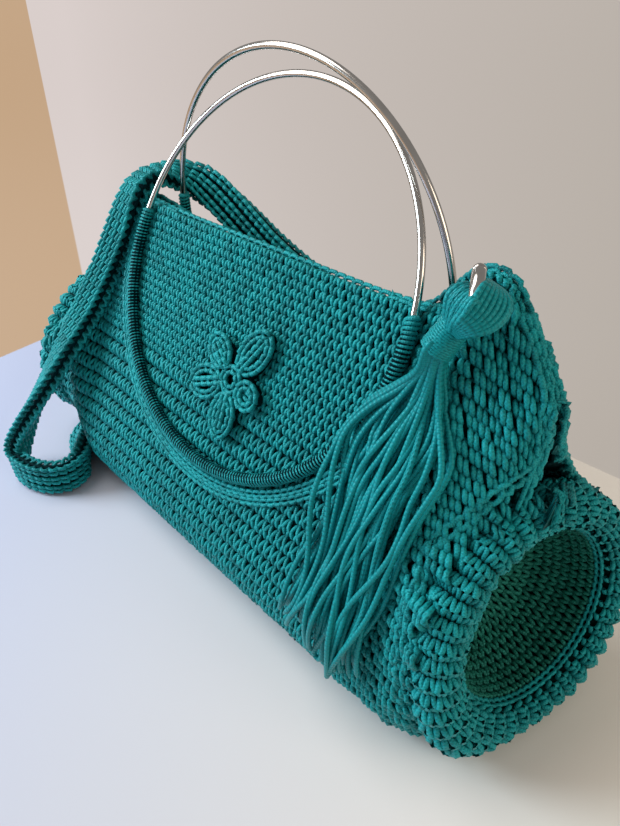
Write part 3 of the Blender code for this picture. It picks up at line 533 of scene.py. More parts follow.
class Wall:
    """The outer face of one wall of the bag, read by rays towards a line along the bag."""

    def __init__(self, node, line_y, line_z, first, last):
        self.tree = BVHTree.FromObject(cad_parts[node], bpy.context.evaluated_depsgraph_get())
        self.line = (line_y, line_z)
        low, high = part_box(node)
        self.first_x = low.x - 4 * BODY_STEP
        self.count = int((high.x - low.x) / BODY_STEP) + 9
        column = np.radians(np.linspace(first, last, 500))
        self.angles = even_angles(lambda angle: self.hit(0.0, angle), column, ROW_HEIGHT / 2)
        self.rows = (len(self.angles) - 1) // 2
        points = np.full((self.count, len(self.angles), 3), np.nan)
        for i in range(self.count):
            for j, angle in enumerate(self.angles):
                spot = self.hit(self.first_x + i * BODY_STEP, angle)
                if spot is not None:
                    points[i, j] = spot
        self.known = ~np.isnan(points[:, :, 0])
        self.carry_on(points)
        outward = points - np.array([0.0, *self.line])
        outward[:, :, 0] = 0
        self.points = points
        self.normals = grid_normals(points, outward)
        self.surface = blend_grid(points, self.normals, self.first_x, BODY_STEP, 0.5)

    def hit(self, x, angle):
        away = Vector((0, math.cos(angle), math.sin(angle)))
        start = Vector((x, *self.line)) + away * 0.35
        return self.tree.ray_cast(start, -away)[0]

    def carry_on(self, points):
        """Carry the grid on a little past the wall's edges."""
        middle = self.count // 2
        for j in range(points.shape[1]):
            for step in (1, -1):
                i = middle
                while 0 <= i < self.count:
                    near, far = points[i - step, j], points[i - 2 * step, j]
                    if np.isnan(points[i, j, 0]) and not np.isnan(far[0] + near[0]):
                        points[i, j] = 2 * near - far
                    i += step
        for i in range(self.count):
            for j in range(2, points.shape[1]):
                if np.isnan(points[i, j, 0]) and not np.isnan(points[i, j - 2, 0]):
                    points[i, j] = 2 * points[i, j - 1] - points[i, j - 2]
            for j in range(points.shape[1] - 3, -1, -1):
                if np.isnan(points[i, j, 0]):
                    points[i, j] = 2 * points[i, j + 1] - points[i, j + 2]
        points[np.isnan(points)] = 0.0

    def has(self, x, row):
        i = int(round((x - self.first_x) / BODY_STEP))
        j = int(round(row * 2))
        return 0 <= i < self.count and 0 <= j < len(self.angles) and bool(self.known[i, j])

    def height_at(self, x, row):
        spots, _ = self.surface(np.array([x]), np.array([row]))
        return spots[0, 2]

    def stretch(self, x, row):
        """How far the fabric runs for each step along the bag, at least 1."""
        spots, _ = self.surface(x + np.array([-1, 1]) * BODY_STEP, np.array([row, row]))
        return min(3.0, max(1.0, np.linalg.norm(spots[1] - spots[0]) / (2 * BODY_STEP)))

    def rise(self, x, row):
        """How far the fabric runs up for each row, in rows of the bag's middle."""
        spots, _ = self.surface(np.array([x, x]), row + np.array([-0.5, 0.5]))
        return max(0.6, np.linalg.norm(spots[1] - spots[0]) / ROW_HEIGHT)

    def takes_stitch(self, x, row, width=STITCH_WIDTH, height=1.0, reach=CELL_REACH):
        """A stitch lies on the wall, or just past its end where the round end's rim covers it."""
        inward = x - math.copysign(END_OVERLAP, x)
        if not self.has(x, row) and not self.has(inward, row):
            return False
        corners_x = x + np.array([0, -1, 1, -1, 1]) * width / 2
        corners_row = row + np.array([0, -1, -1, 1, 1]) * height / 2
        spots, _ = self.surface(corners_x, corners_row)
        widest = np.linalg.norm(spots[1:] - spots[0], axis=1).max()
        if widest > reach or spots[:, 2].min() < -0.001:
            return False
        off = Vector(spots[0]) - Vector((math.copysign(END_CENTRE[0], x), *END_CENTRE[1:]))
        return self.has(x, row) or math.hypot(off.y, off.z) < COVERED_RADIUS

    def end_edge(self, hand):
        """Points and normals up the wall's left or right end, where its round end is sewn on."""
        spots, facing = [], []
        for j in range(2 * FIRST_ROW, len(self.angles)):
            known = np.nonzero(self.known[:, j])[0]
            if len(known) > 0:
                last = known[-1] if hand > 0 else known[0]
                if (self.first_x + last * BODY_STEP) * hand > GUSSET_START:
                    spots.append(self.points[last, j])
                    facing.append(self.normals[last, j])
        steady = np.ones(5) / 5
        smooth = [np.convolve(np.pad(np.array(spots)[:, k], 2, mode="edge"), steady, "valid")
                  for k in range(3)]
        return np.stack(smooth, axis=-1), np.array(facing)

    def top_edge(self):
        """Points and normals along the wall's upper edge, from left to right."""
        spots, facing = [], []
        for i in range(self.count):
            known = np.nonzero(self.known[i])[0]
            if len(known) == 0 or known[-1] + 1 >= len(self.angles):
                continue
            x = self.first_x + i * BODY_STEP
            inside, outside = self.angles[known[-1]], self.angles[known[-1] + 1]
            spot = Vector(self.points[i, known[-1]])
            for _ in range(6):
                middle = (inside + outside) / 2
                found = self.hit(x, middle)
                if found is None:
                    outside = middle
                else:
                    inside, spot = middle, found
            spots.append(np.array(spot))
            facing.append(self.normals[i, known[-1] - 1])
        return spots, facing


def settle(low):
    """How high a stitch sits on the fabric: lower where the wall rests on the ledge."""
    return STITCH_LIFT - FLOOR_SINK * min(1, max(0, (SINK_TOP - low) / SINK_RANGE))


def wall_cells(wall):
    """Stitches over a wall: paired rows low down, single ones above, long pairs at the corner."""
    cells = {"rib": [], "bump": [], "corner": []}
    span = wall.count * BODY_STEP
    for row in range(FIRST_ROW, wall.rows):
        for k in range(int(span / STITCH_WIDTH)):
            x = wall.first_x + k * STITCH_WIDTH
            middle = x + STITCH_WIDTH / 2
            low = wall.height_at(middle, row + 0.5)
            if middle > GUSSET_START or not wall.takes_stitch(middle, row + 0.5):
                continue
            lift = settle(low) + rng.normal(0, 0.00018)
            tint = rng.uniform(-1, 1)
            sway = rng.normal(0, 0.00022)
            if low < RIB_TOP:
                upper = row % 2
                cells["rib"].append((x + sway, row + 0.14 * (1 - upper), STITCH_WIDTH, 0.86,
                                     lift, float(upper), tint))
            else:
                shift = (row % 2) * STITCH_WIDTH / 2
                cells["bump"].append((x + shift + sway, row + rng.normal(0, 0.03), STITCH_WIDTH, 1.0,
                                      lift, 0.0, tint))
    level, row = float(FIRST_ROW), 0
    while level < wall.rows - 1:
        step = CORNER_ROWS / wall.rise(CORNER_MIDDLE, level + 0.5)
        x = GUSSET_START + 0.5 * (row % 2) * CORNER_WIDTH
        while x < wall.first_x + span - CORNER_WIDTH:
            width = CORNER_WIDTH / wall.stretch(x + CORNER_WIDTH / 4, level + step / 2)
            middle = x + width / 2
            if wall.takes_stitch(middle, level + step / 2, width, step, CORNER_REACH):
                lift = settle(wall.height_at(middle, level))
                cells["corner"].append((x + rng.normal(0, 0.0003), level + rng.normal(0, 0.07) * step,
                                        width, step, lift + rng.normal(0, 0.0005), 0.0,
                                        rng.uniform(-1, 1)))
            x += width
        level += step
        row += 1
    return cells


teal = cord_finish("teal_cord", (0.001, 0.020, 0.026), (0.010, 0.338, 0.356))
teal_shadow = backing_finish("teal_shadow", (0.000, 0.014, 0.018))
front_wall = Wall("body_front", 0.040, 0.040, 237.0, 93.0)
back_wall = Wall("body_back", -0.040, 0.040, -42.0, 84.0)
for name, wall in (("body_front", front_wall), ("body_back", back_wall)):
    add_backing(name + "_fabric", name, 0.0013, teal_shadow)
    stitches = {"rib": v_stitch(STITCH_WIDTH, ROW_HEIGHT, CORD * 1.12, -0.0016, 0.0012, 0.0012),
                "bump": v_stitch(STITCH_WIDTH, ROW_HEIGHT, CORD * 1.10, -0.0008, 0.0013, -0.0006),
                "corner": pair_stitch(CORNER_WIDTH, ROW_HEIGHT * CORNER_ROWS, CORD * 1.28, 0.0017)}
    for kind, cells in wall_cells(wall).items():
        crochet(f"{name}_{kind}_stitches", stitches[kind], cells, wall.surface, teal)
    spots, facing = wall.top_edge()
    surface, length = ribbon(spots, facing, EDGE_WIDTH)
    cells = chain_cells(length, EDGE_LINK, (0.0,), 0.0002)
    stitch = chain_link(EDGE_LINK, EDGE_WIDTH, CORD * 1.1, 0.0010)
    crochet(name + "_edge_chain", stitch, cells, surface, teal)
    for side, hand in (("right", 1), ("left", -1)):
        spots, facing = wall.end_edge(hand)
        surface, length = ribbon(spots, facing, SEAM_WIDTH)
        stitch = chain_link(EDGE_LINK, SEAM_WIDTH, CORD * 1.3, 0.0012)
        cells = chain_cells(length, EDGE_LINK, (0.0,), -0.0002)
        crochet(f"{name}_seam_{side}", stitch, cells, surface, teal)


# Round ends
# A dished round of single crochet closes each end of the barrel. Its rim is a puffy, slightly
# scalloped roll that the walls are sewn to, with a fine chain round the hollow.
END_TURN = 13.0
RIM_CORE = 0.0520
BOWL_EYE = 0.0120
END_COLUMNS = 252
RIM_RIBS = 42
SCALLOP_LIFT = 0.0009
BOWL_STITCH = 0.0048
HOLLOW_LINK = 0.0040
HOLLOW_WIDTH = 0.0042
CORE_REACH = 0.035


class End:
    """The face of one round end, read by rays in planes through its axis."""

    def __init__(self, node, hand):
        self.tree = BVHTree.FromObject(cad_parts[node], bpy.context.evaluated_depsgraph_get())
        turn = math.radians(END_TURN)
        self.centre = Vector((hand * END_CENTRE[0], *END_CENTRE[1:]))
        self.axis = Vector((hand * math.cos(turn), -math.sin(turn), math.tan(turn))).normalized()
        self.up = (Vector((0, 0, 1)) - self.axis * self.axis.z).normalized()
        self.side = self.axis.cross(self.up) * hand

    def spoke(self, turn):
        return self.up * math.cos(turn) + self.side * math.sin(turn)

    def rim_hit(self, turn, angle):
        spoke = self.spoke(turn)
        away = spoke * math.cos(angle) + self.axis * math.sin(angle)
        core = self.centre + spoke * RIM_CORE
        return self.tree.ray_cast(core + away * CORE_REACH, -away)[0]

    def bowl_hit(self, turn, angle):
        away = self.spoke(turn) * math.cos(angle) + self.axis * math.sin(angle)
        return self.tree.ray_cast(self.centre - self.axis * BOWL_EYE, away)[0]

    def grid(self, hit, first, last):
        """A grid of hits round the end, from the first angle to the last."""
        column = np.radians(np.linspace(first, last, 300))
        angles = even_angles(lambda angle: hit(0.0, angle), column, ROW_HEIGHT / 2)
        limit = math.radians(last)
        angles = [angle for angle in angles if (angle - limit) * (last - first) <= 0]
        points = np.zeros((END_COLUMNS + 1, len(angles), 3))
        for i in range(END_COLUMNS + 1):
            turn = 2 * math.pi * i / END_COLUMNS
            spot = self.centre
            for j, angle in enumerate(angles):
                spot = hit(turn, angle) or spot
                points[i, j] = spot
        return points


# Painted shade: the bowls use a darker, greener copy of the teal cord for the shade in the hollow ends.
end_cord = cord_finish("end_cord", (0.003, 0.017, 0.014), (0.024, 0.245, 0.185))
end_shadow = backing_finish("end_shadow", (0.000, 0.010, 0.009))
for name, hand in (("end_right", 1), ("end_left", -1)):
    end = End(name, hand)
    add_backing(name + "_fabric", name, 0.0010, end_shadow)
    points = end.grid(end.rim_hit, 176.0, -70.0)
    core = np.array([end.centre + end.spoke(2 * math.pi * i / END_COLUMNS) * RIM_CORE
                     for i in range(END_COLUMNS + 1)])
    normals = grid_normals(points, points - core[:, None, :], closed=True)
    waves = -np.cos(np.linspace(0, 2 * math.pi * RIM_RIBS, END_COLUMNS + 1))[:, None]
    puff = SCALLOP_LIFT * waves * np.linspace(0, 1, points.shape[1])[None, :]
    surface = blend_grid(points + normals * puff[:, :, None], normals, 0.0, 1 / END_COLUMNS, 0.5, True)
    cells = []
    rows = (points.shape[1] - 1) / 2
    for rib in range(RIM_RIBS * 2):
        for row in range(1, int(rows)):
            flip = rib % 2
            cells.append((row + 0.5 * flip, (rib + 0.10 * (1 - flip)) / (RIM_RIBS * 2), 1.0,
                          0.9 / (RIM_RIBS * 2), STITCH_LIFT + rng.normal(0, 0.0003), float(flip),
                          rng.uniform(-1, 1)))
    stitch = v_stitch(ROW_HEIGHT, ROW_HEIGHT, CORD * 1.15, -0.0014, 0.0012, 0.0012)
    crochet(name + "_rim_stitches", stitch, cells, lambda u, v, rim=surface: rim(v, u), teal)
    edge, length = ribbon(points[:, 1], normals[:, 1], HOLLOW_WIDTH)
    stitch = chain_link(HOLLOW_LINK, HOLLOW_WIDTH, CORD * 0.9, 0.0008)
    crochet(name + "_hollow_chain", stitch, chain_cells(length, HOLLOW_LINK, (0.0,)), edge, teal)
    points = end.grid(end.bowl_hit, -86.0, 19.0)
    inward = np.array(end.centre) - points
    normals = grid_normals(points, inward, closed=True)
    surface = blend_grid(points, normals, 0.0, 1 / END_COLUMNS, 0.5, True)
    cells = []
    for row in range((points.shape[1] - 1) // 2):
        ring = points[:, row * 2 + 1]
        count = max(6, round(np.linalg.norm(np.diff(ring, axis=0), axis=1).sum() / BOWL_STITCH))
        for k in range(count):
            cells.append(((k + 0.5 * (row % 2)) / count, row, 1 / count, 1.0,
                          STITCH_LIFT + rng.normal(0, 0.0001), 0.0, rng.uniform(-1, 1)))
    stitch = v_stitch(BOWL_STITCH, ROW_HEIGHT, CORD * 1.08, -0.0008, 0.0012, -0.0004)
    crochet(name + "_bowl_stitches", stitch, cells, surface, end_cord)


# Ring handles
# Two closed rings of round steel wire, polished. Their lower halves run inside cord sleeves on
# the two walls, and the front ring leans back through the other.
RING_RADIUS = 0.098
WIRE_RADIUS = 0.0017
RING_STEPS = 160
FRONT_RING = (0.0018, -0.0070, 0.1603, 26.3)
BACK_RING = (0.0034, 0.0246, 0.1631, -4.5)

steel, shader, place = start_material("polished_steel")
rub = place.node("ShaderNodeTexNoise", {}, {"Vector": place, "Scale": 90.0, "Detail": 4.0})
feed(shader, "Base Color", rub.mixed((0.50, 0.47, 0.44, 1), (0.70, 0.66, 0.62, 1)))
feed(shader, "Roughness", rub * 0.12 + 0.10)
shader.inputs["Metallic"].default_value = 1.0


def ring_place(ring):
    """Where a ring lies: its centre in metres and how far it leans back in degrees."""
    x, y, z, lean = ring
    return Matrix.Translation((x, y, z)) @ Matrix.Rotation(-math.radians(lean), 4, "X")


for name, ring in (("ring_front", FRONT_RING), ("ring_back", BACK_RING)):
    bm = bmesh.new()
    hoop = []
    for angle in np.linspace(0, 2 * math.pi, RING_STEPS, endpoint=False):
        spoke = Vector((math.cos(angle), 0, math.sin(angle)))
        hoop.append(ring_place(ring) @ (spoke * RING_RADIUS))
    draw_cord(bm, hoop, WIRE_RADIUS * 2, 14, closed=True, up=ring_place(ring).to_3x3().col[1])
    bmesh.ops.recalc_face_normals(bm, faces=bm.faces)
    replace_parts(add_piece(name + "_wire", bm, steel), name)


# Ring sleeves
# Each ring's lower half is held in a tube of cord wound closely round it and stitched down to
# the wall, with two rows of chain along its outer side.
SLEEVE_FIRST = -189.0
SLEEVE_SPAN = 198.0
SLEEVE_RADIUS = 0.0035
WRAP_PITCH = 0.0019
WRAP_CORD = 0.0029
SLEEVE_CHAINS = (0.0072, 0.0112)
CHAIN_LINK = 0.0048
CHAIN_WIDTH = 0.0044

for name, ring, wall, hand in (("sleeve_front", FRONT_RING, front_wall, 1),
                               ("sleeve_back", BACK_RING, back_wall, -1)):
    place = ring_place(ring)
    add_backing(name + "_fabric", name, 0.0012, teal_shadow)
    length = RING_RADIUS * math.radians(SLEEVE_SPAN)

    def sleeve_surface(u, v, place=np.array(place)):
        angle = math.radians(SLEEVE_FIRST) + u / RING_RADIUS
        turn = 2 * math.pi * v
        spoke = np.stack([np.cos(angle), np.zeros_like(angle), np.sin(angle)], axis=-1)
        local = spoke * np.cos(turn)[..., None] + np.array([0, 1, 0]) * np.sin(turn)[..., None]
        points = spoke * RING_RADIUS + local * SLEEVE_RADIUS
        return points @ place[:3, :3].T + place[:3, 3], local @ place[:3, :3].T

    round_way = 2 * math.pi * SLEEVE_RADIUS
    bm = bmesh.new()
    draw_cord(bm, [(WRAP_PITCH * k / 10, round_way * k / 10, 0) for k in range(11)], WRAP_CORD, 4)
    stitch = unit_cell(bm, WRAP_PITCH, round_way)
    count = int(length / WRAP_PITCH)
    cells = [(k * WRAP_PITCH, 0.0, WRAP_PITCH, 1.0, -WRAP_CORD / 2, 0.0, rng.uniform(-1, 1))
             for k in range(count)]
    crochet(name + "_wraps", stitch, cells, sleeve_surface, teal)
    inward = place.to_3x3() @ Vector((0, hand, 0))
    for number, reach in enumerate(SLEEVE_CHAINS):
        spots, facing = [], []
        for degrees in np.arange(SLEEVE_FIRST + 4, SLEEVE_FIRST + SLEEVE_SPAN - 4, 2.0):
            angle = math.radians(degrees)
            local = Vector((math.cos(angle), 0, math.sin(angle))) * (RING_RADIUS + reach)
            found = wall.tree.ray_cast(place @ local - inward * 0.03, inward, 0.06)
            if found[0] is not None:
                spots.append(np.array(found[0]))
                facing.append(-np.array(inward))
        surface, reached = ribbon(spots, facing, CHAIN_WIDTH)
        stitch = chain_link(CHAIN_LINK, CHAIN_WIDTH, CORD * 1.1, 0.0013)
        cells = chain_cells(reached, CHAIN_LINK, (0.0,), 0.0006)
        crochet(f"{name}_chain_{number}", stitch, cells, surface, teal)


# Motif
# A flat flower of five crocheted loops round a small knot, sewn to the front panel just inside
# the ring.
PETALS = ((140, 0.026, 0.0070), (60, 0.034, 0.0085), (-12, 0.022, 0.0070), (-85, 0.031, 0.0080),
          (-155, 0.031, 0.0085))
MOTIF_HEART = 0.0078
MOTIF_PLACE = (0.010, 0.0001, -0.048)
MOTIF_WIDTH = 0.0054

add_backing("motif_fabric", "motif", 0.0006, teal_shadow)
place = ring_place(FRONT_RING) @ Matrix.Translation(MOTIF_PLACE)
facing = -np.array(place.to_3x3().col[1])
loops = [[Vector((math.cos(a), 0, math.sin(a))) * (MOTIF_HEART - 0.0024)
          for a in np.linspace(0, 2 * math.pi, 25)]]
for degrees, length, half_width in PETALS:
    turn = math.radians(degrees)
    loop = []
    for a in np.linspace(0, 2 * math.pi, 41):
        out = (length + MOTIF_HEART) / 2 + ((length - MOTIF_HEART) / 2 - 0.0012) * math.cos(a)
        aside = (half_width - 0.0014) * math.sin(a)
        loop.append(Vector((out * math.cos(turn) - aside * math.sin(turn), 0,
                            out * math.sin(turn) + aside * math.cos(turn))))
    loops.append(loop)
    vein = [Vector((math.cos(turn), 0, math.sin(turn))) * reach
            for reach in np.linspace(MOTIF_HEART * 0.9, length - 0.0044, 9)]
    loops.append(vein)
for number, loop in enumerate(loops):
    spots = [np.array(place @ spot) for spot in loop]
    surface, length = ribbon(spots, [facing] * len(spots), MOTIF_WIDTH - 0.0002)
    stitch = chain_link(CHAIN_LINK, MOTIF_WIDTH, CORD * 1.35, 0.0019)
    cells = chain_cells(length, CHAIN_LINK, (0.0,), 0.0002 + 0.0007 * (number % 3))
    crochet(f"motif_loop_{number}", stitch, cells, surface, teal)


# Shoulder strap
# A long flat band of three chains side by side, worked lengthways. It is sewn on behind the
# right corner, arches over the top, hangs in a loop at the front left and comes back beneath
# to the left corner.
STRAP_WIDTH = 0.0220
STRAP_THICKNESS = 0.0044
STRAP_LINK = 0.0054
STRAP_ROUTE = (
    (124, 18, 180, 1.0, 0.0, 0.0),
    (121, 33, 164, 0.9, 0.1, 0.4),
    (103, 43, 148, 0.6, 0.0, 0.8),
    (68, 48, 132, 0.2, 0.0, 1.0),
    (30, 50, 129, 0.0, 0.1, 1.0),
    (-12, 49, 139, 0.0, 0.2, 1.0),
    (-45, 46, 153, 0.0, 0.3, 0.9),
    (-75, 44, 169, -.1, 0.5, 0.8),
    (-99, 39, 181, -.5, 0.6, 0.6),
    (-112, 22, 186, -.7, 0.7, 0.0),
    (-115, 5, 181, -.9, 0.4, 0.1),
    (-117, -8, 160, -1., 0.1, 0.2),
    (-123, -20, 136, -.9, 0.2, 0.3),
    (-127, -37, 111, -.9, 0.3, 0.3),
    (-129, -55, 90, -.9, 0.4, 0.1),
    (-134, -72, 67, -.9, 0.5, -.1),
    (-143, -86, 44, -.8, 0.5, -.4),
    (-149, -95, 25, -.5, 0.3, -.8),
    (-145, -101, 14, -.1, 0.1, -1.),
    (-133, -102, 12.4, 0.0, 0.0, -1.),
    (-117, -97, 12.4, 0.0, 0.0, -1.),
    (-107, -85, 12.4, 0.0, 0.0, -1.),
    (-112, -71, 12.4, 0.0, -.1, -1.),
    (-128, -62, 12, -.1, -.4, -.9),
    (-146, -53, 9, -.6, -.3, -.6),
    (-155, -36, 3.4, -1., 0.0, 0.0),
    (-155, 0, 3.0, -1., 0.0, 0.0),
    (-155, 36, 3.4, -1., 0.0, 0.0),
    (-154, 58, 15, -1., 0.0, 0.0),
    (-152, 67, 40, -1., 0.0, 0.0),
    (-149, 65, 75, -1., 0.0, 0.0),
    (-146, 53, 108, -1., 0.0, 0.0),
    (-142, 31, 144, -1., 0.0, 0.0),
    (-140, 22, 166, -1., 0.0, 0.0),
)

add_backing("strap_fabric", "strap", 0.0010, teal_shadow)
route = smooth_route([Vector(row[:3]) * 0.001 for row in STRAP_ROUTE], 2)
widths = smooth_route([Vector(row[3:]) for row in STRAP_ROUTE], 2)
faces = []
for k, centre in enumerate(route):
    ahead = (route[min(k + 1, len(route) - 1)] - route[max(k - 1, 0)]).normalized()
    side = (widths[k] - ahead * widths[k].dot(ahead)).normalized()
    faces.append(np.array(ahead.cross(side)))
for side_name, sign in (("front", 1), ("back", -1)):
    facing = [face * sign for face in faces]
    middle = [np.array(spot) + face * STRAP_THICKNESS / 2 for spot, face in zip(route, facing)]
    surface, length = ribbon(middle, facing, STRAP_WIDTH)
    cells = chain_cells(length, STRAP_LINK, (-0.345, 0.0, 0.345), -0.0006)
    stitch = chain_link(STRAP_LINK, STRAP_WIDTH / 3, CORD * 1.3, 0.0030, 0.26)
    crochet("strap_chains_" + side_name, stitch, cells, surface, teal)


# Corner loop and clip
# A short loop of wound cord on the right corner carries a sprung ring clip of polished steel.
# The hook is one bent wire, and the gate turns on a small pin at the hook's upper end.
CLIP_CENTRE = Vector((0.1311, -0.0125, 0.1962))
CLIP_AHEAD = Vector((0.5, -0.8660, 0.0))
CLIP_ACROSS = Vector((0.8660, 0.5, 0.0))
CLIP_RADIUS = 0.0100
CLIP_WIRE = 0.0025
GATE_FIRST = 27.5
GATE_LAST = 98.0
GATE_TONGUE = (0.90, 0.72, 0.55, 0.48)
LOOP_AT = 229.0
LOOP_MINOR = 0.0017
LOOP_TURNS = 14
LOOP_CORD = 0.0014


def clip_arc(first, last, thickness, tail=(0.97, 0.86)):
    """A bent wire on the clip's circle, closed at both ends, its last steps narrowed by the tail."""
    angles = np.radians(np.linspace(first, last, 40))
    spots = [CLIP_CENTRE + (CLIP_AHEAD * math.cos(a) + Vector((0, 0, 1)) * math.sin(a)) * CLIP_RADIUS
             for a in angles]
    ends = [0.86, 0.97] + [1.0] * (38 - len(tail)) + list(tail)
    bm = bmesh.new()
    draw_cord(bm, spots, [thickness * share for share in ends], 16, up=CLIP_ACROSS)
    bmesh.ops.holes_fill(bm, edges=bm.edges)
    bmesh.ops.recalc_face_normals(bm, faces=bm.faces)
    return bm


wire = clip_arc(GATE_LAST - 1, GATE_FIRST + 359, CLIP_WIRE * 2)
hook = add_piece("clip_hook_wire", wire, steel)
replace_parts(hook, "clip_hook")
wire = clip_arc(GATE_FIRST, GATE_LAST - 1, CLIP_WIRE * 1.9, GATE_TONGUE)
gate = add_piece("clip_gate_wire", wire, steel, "gate")
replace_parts(gate, "clip_gate")
angle = math.radians(LOOP_AT)
outward = CLIP_AHEAD * math.cos(angle) + Vector((0, 0, 1)) * math.sin(angle)
hold = CLIP_CENTRE + outward * CLIP_RADIUS
add_backing("corner_loop_fabric", "corner_loop", 0.0007, teal_shadow)
bm = bmesh.new()
major = CLIP_WIRE + 0.0002 + LOOP_MINOR
coil = []
for k in range(LOOP_TURNS * 8):
    around, twist = 2 * math.pi * k / (LOOP_TURNS * 8), 2 * math.pi * k / 8
    spoke = outward * math.cos(around) + CLIP_ACROSS * math.sin(around)
    along = outward.cross(CLIP_ACROSS)
    coil.append(hold + spoke * (major + 0.0010 * math.cos(twist)) + along * 0.0010 * math.sin(twist))
draw_cord(bm, coil, LOOP_CORD, 5, closed=True)
bmesh.ops.recalc_face_normals(bm, faces=bm.faces)
add_piece("corner_loop_wraps", bm, teal)


# Tassel
# A hank of more than forty plain cords, doubled through the clip in two bunches, wound tightly at
# the neck and left hanging loosely over the front.
HEAD_ALONG = Vector((0.697, 0.717, 0.0))
HEAD_RISE = Vector((-0.417, 0.406, 0.813))
HEAD_OFF = Vector((0.451, -0.791, 0.414))
NECK_TOP = (-4.3, -6.0, -6.0)
NECK_LOW = (-13.8, -17.7, -14.4)
NECK_WIDE = 0.0114
NECK_TURNS = 15
NECK_CORD = 0.0013
TASSEL_CORD = 0.0025
TASSEL_CORDS = 44
TASSEL_OFF = 0.0088
TASSEL_FRONT = -0.067
LAYER_STEP = 0.0018
TASSEL_LEFT = ((170, 114), (163, 107), (152, 100), (137, 96), (120, 95), (88, 97), (58, 95), (42, 88))
TASSEL_RIGHT = ((170, 120), (163, 127), (152, 134), (137, 139), (120, 136), (88, 135), (58, 136),
                (42, 136))
TASSEL_TIPS = ((0.0, 43), (0.2, 44), (0.4, 36), (0.7, 25), (0.9, 38), (1.0, 54))
RIGHT_BUNCH = (((-8.5, -11.5, -9), (-7.5, -13.0, -11)), ((-5.6, -7.5, 7), (-1.8, -11.2, 6)),
               ((-2.6, -3.5, 12), (5.2, -8.9, 9)), ((-0.8, -0.8, 13.5), (9.6, -4.8, 8)),
               ((2.5, 4.6, 12), (10.9, -0.5, 7)), ((4.5, 6.3, 5), (8.6, 3.6, 2)),
               ((4.0, 5.0, -6), (5.2, 4.6, -6)))
LEFT_BUNCH = (((-9.5, -11.5, -10), (-8.5, -12, -9)), ((-9.9, -5.5, -5), (-7.0, -7.4, 5)),
              ((-9.3, 0.9, -2), (-4.9, -4.6, 9)), ((-6.6, 4.2, 0), (-2.8, -1.6, 12.5)),
              ((-3.2, 5.6, -1), (-0.8, 0.6, 13.5)), ((0, 5, -6), (1.0, 0.2, 11)))

tassel_cord = cord_finish("tassel_cord", (0.001, 0.036, 0.042), (0.008, 0.350, 0.375), 0.38, 0.0022, 1.0)


def head_spot(place):
    """A point beside the clip: millimetres along the corner, up its slope and off its surface."""
    along, rise, off = place
    return CLIP_CENTRE + (HEAD_ALONG * along + HEAD_RISE * rise + HEAD_OFF * off) * 0.001


def tassel_depth(z):
    """How far forward the tassel hangs: over the leaning panel, then straight down."""
    _, ring_y, ring_z, lean = FRONT_RING
    return max(ring_y + (z - ring_z) * math.tan(math.radians(lean)) - TASSEL_OFF, TASSEL_FRONT)


def strand_route(share, layer, tip_z):
    """One cord from the neck to its tip, at its own place across the tassel and its own depth."""
    left, right = np.array(TASSEL_LEFT)[::-1] * 0.001, np.array(TASSEL_RIGHT)[::-1] * 0.001
    phase, sway = rng.uniform(0, 6.3, 3), rng.uniform(0.4, 1.3, 3)
    neck = head_spot(NECK_LOW)
    start = neck + HEAD_ALONG * (share - 0.5) * NECK_WIDE * 0.7 + HEAD_OFF * (layer - 1) * LAYER_STEP
    spots = [start + (head_spot(NECK_TOP) - neck) * 0.3, start]
    for k in range(1, 13):
        t = k / 12
        z = start.z + (tip_z - start.z) * t
        ease = min(1, 3.5 * t)
        place = share + 0.11 * math.sin(5 * t + phase[0])
        x = np.interp(z, left[:, 0], left[:, 1]) * (1 - place)
        x += np.interp(z, right[:, 0], right[:, 1]) * place
        x += 0.0021 * sway[1] * math.sin(13 * t + phase[1])
        y = tassel_depth(z) + 0.0034 - 0.0028 * layer + 0.0016 * sway[2] * math.sin(10 * t + phase[2])
        spots.append(Vector((start.x, start.y, z)).lerp(Vector((x, y, z)), ease))
    return spots


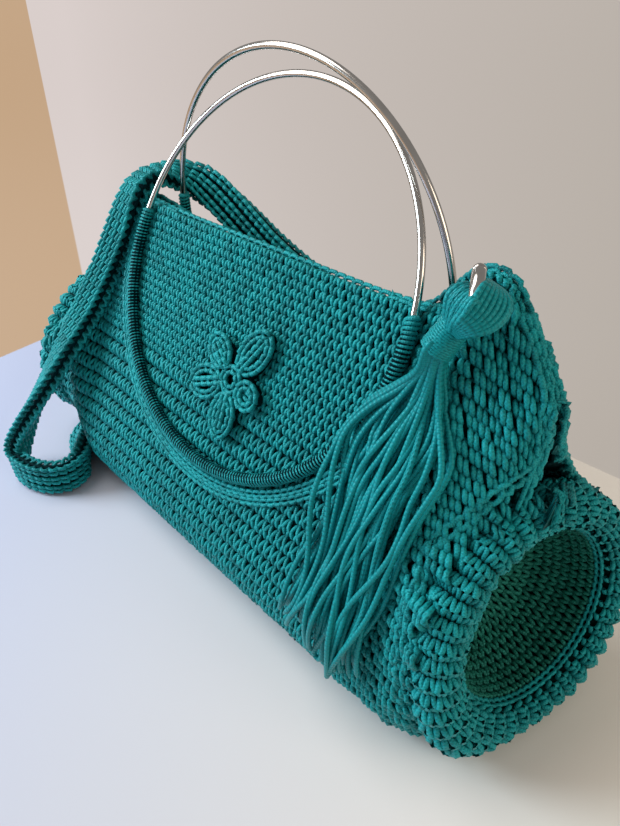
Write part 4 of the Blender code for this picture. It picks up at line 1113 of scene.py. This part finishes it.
bm = bmesh.new()
for k in range(TASSEL_CORDS):
    share = (k * 0.618) % 1.0
    layer = k * 4 // TASSEL_CORDS
    tip_z = np.interp(share, *np.array(TASSEL_TIPS).T) * 0.001 + abs(rng.normal(0, 0.007))
    route = strand_route(share, layer, tip_z)
    if k % 5 == 0:
        partner = strand_route(min(0.98, share + 0.07), layer, tip_z)
        route = route + [(route[-1] + partner[-1]) / 2 - Vector((0, 0, 0.003))] + partner[::-1]
        draw_cord(bm, smooth_route(route, 3), TASSEL_CORD, 7)
        continue
    route = smooth_route(route, 3)
    draw_cord(bm, route, [TASSEL_CORD] * (len(route) - 1) + [TASSEL_CORD * 0.3], 7)
for bunch, count in ((RIGHT_BUNCH, 7), (LEFT_BUNCH, 4)):
    for layer in range(2):
        for k in range(count):
            share = (k + 0.5 * layer) / (count - 1)
            route = []
            for one, two in bunch:
                place = np.array(one) * (1 - share) + np.array(two) * share
                place[2] -= 1.7 * layer
                route.append(head_spot(place))
            draw_cord(bm, smooth_route(route, 5), TASSEL_CORD * 0.92, 8)
bmesh.ops.recalc_face_normals(bm, faces=bm.faces)
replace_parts(add_piece("tassel_cords", bm, tassel_cord), "tassel")
bm = bmesh.new()
top, low = head_spot(NECK_TOP), head_spot(NECK_LOW)
neck_side = (low - top).cross(HEAD_OFF).normalized()
neck_front = (low - top).normalized().cross(neck_side)
coil = []
for k in range(NECK_TURNS * 16):
    t = k / (NECK_TURNS * 16)
    twist = 2 * math.pi * k / 16 + 0.25 * math.sin(7 * t)
    reach = NECK_WIDE * 0.5 * (0.92 + 0.14 * t)
    coil.append(top.lerp(low, t) + (neck_side * math.cos(twist) + neck_front * math.sin(twist)) * reach)
draw_cord(bm, coil, NECK_CORD, 6)
draw_cord(bm, [top.lerp(low, t) for t in (0.02, 0.3, 0.7, 0.98)],
          [NECK_WIDE * 0.88, NECK_WIDE * 0.92, NECK_WIDE * 0.96, NECK_WIDE * 0.9], 16)
bmesh.ops.recalc_face_normals(bm, faces=bm.faces)
add_piece("tassel_neck", bm, tassel_cord)
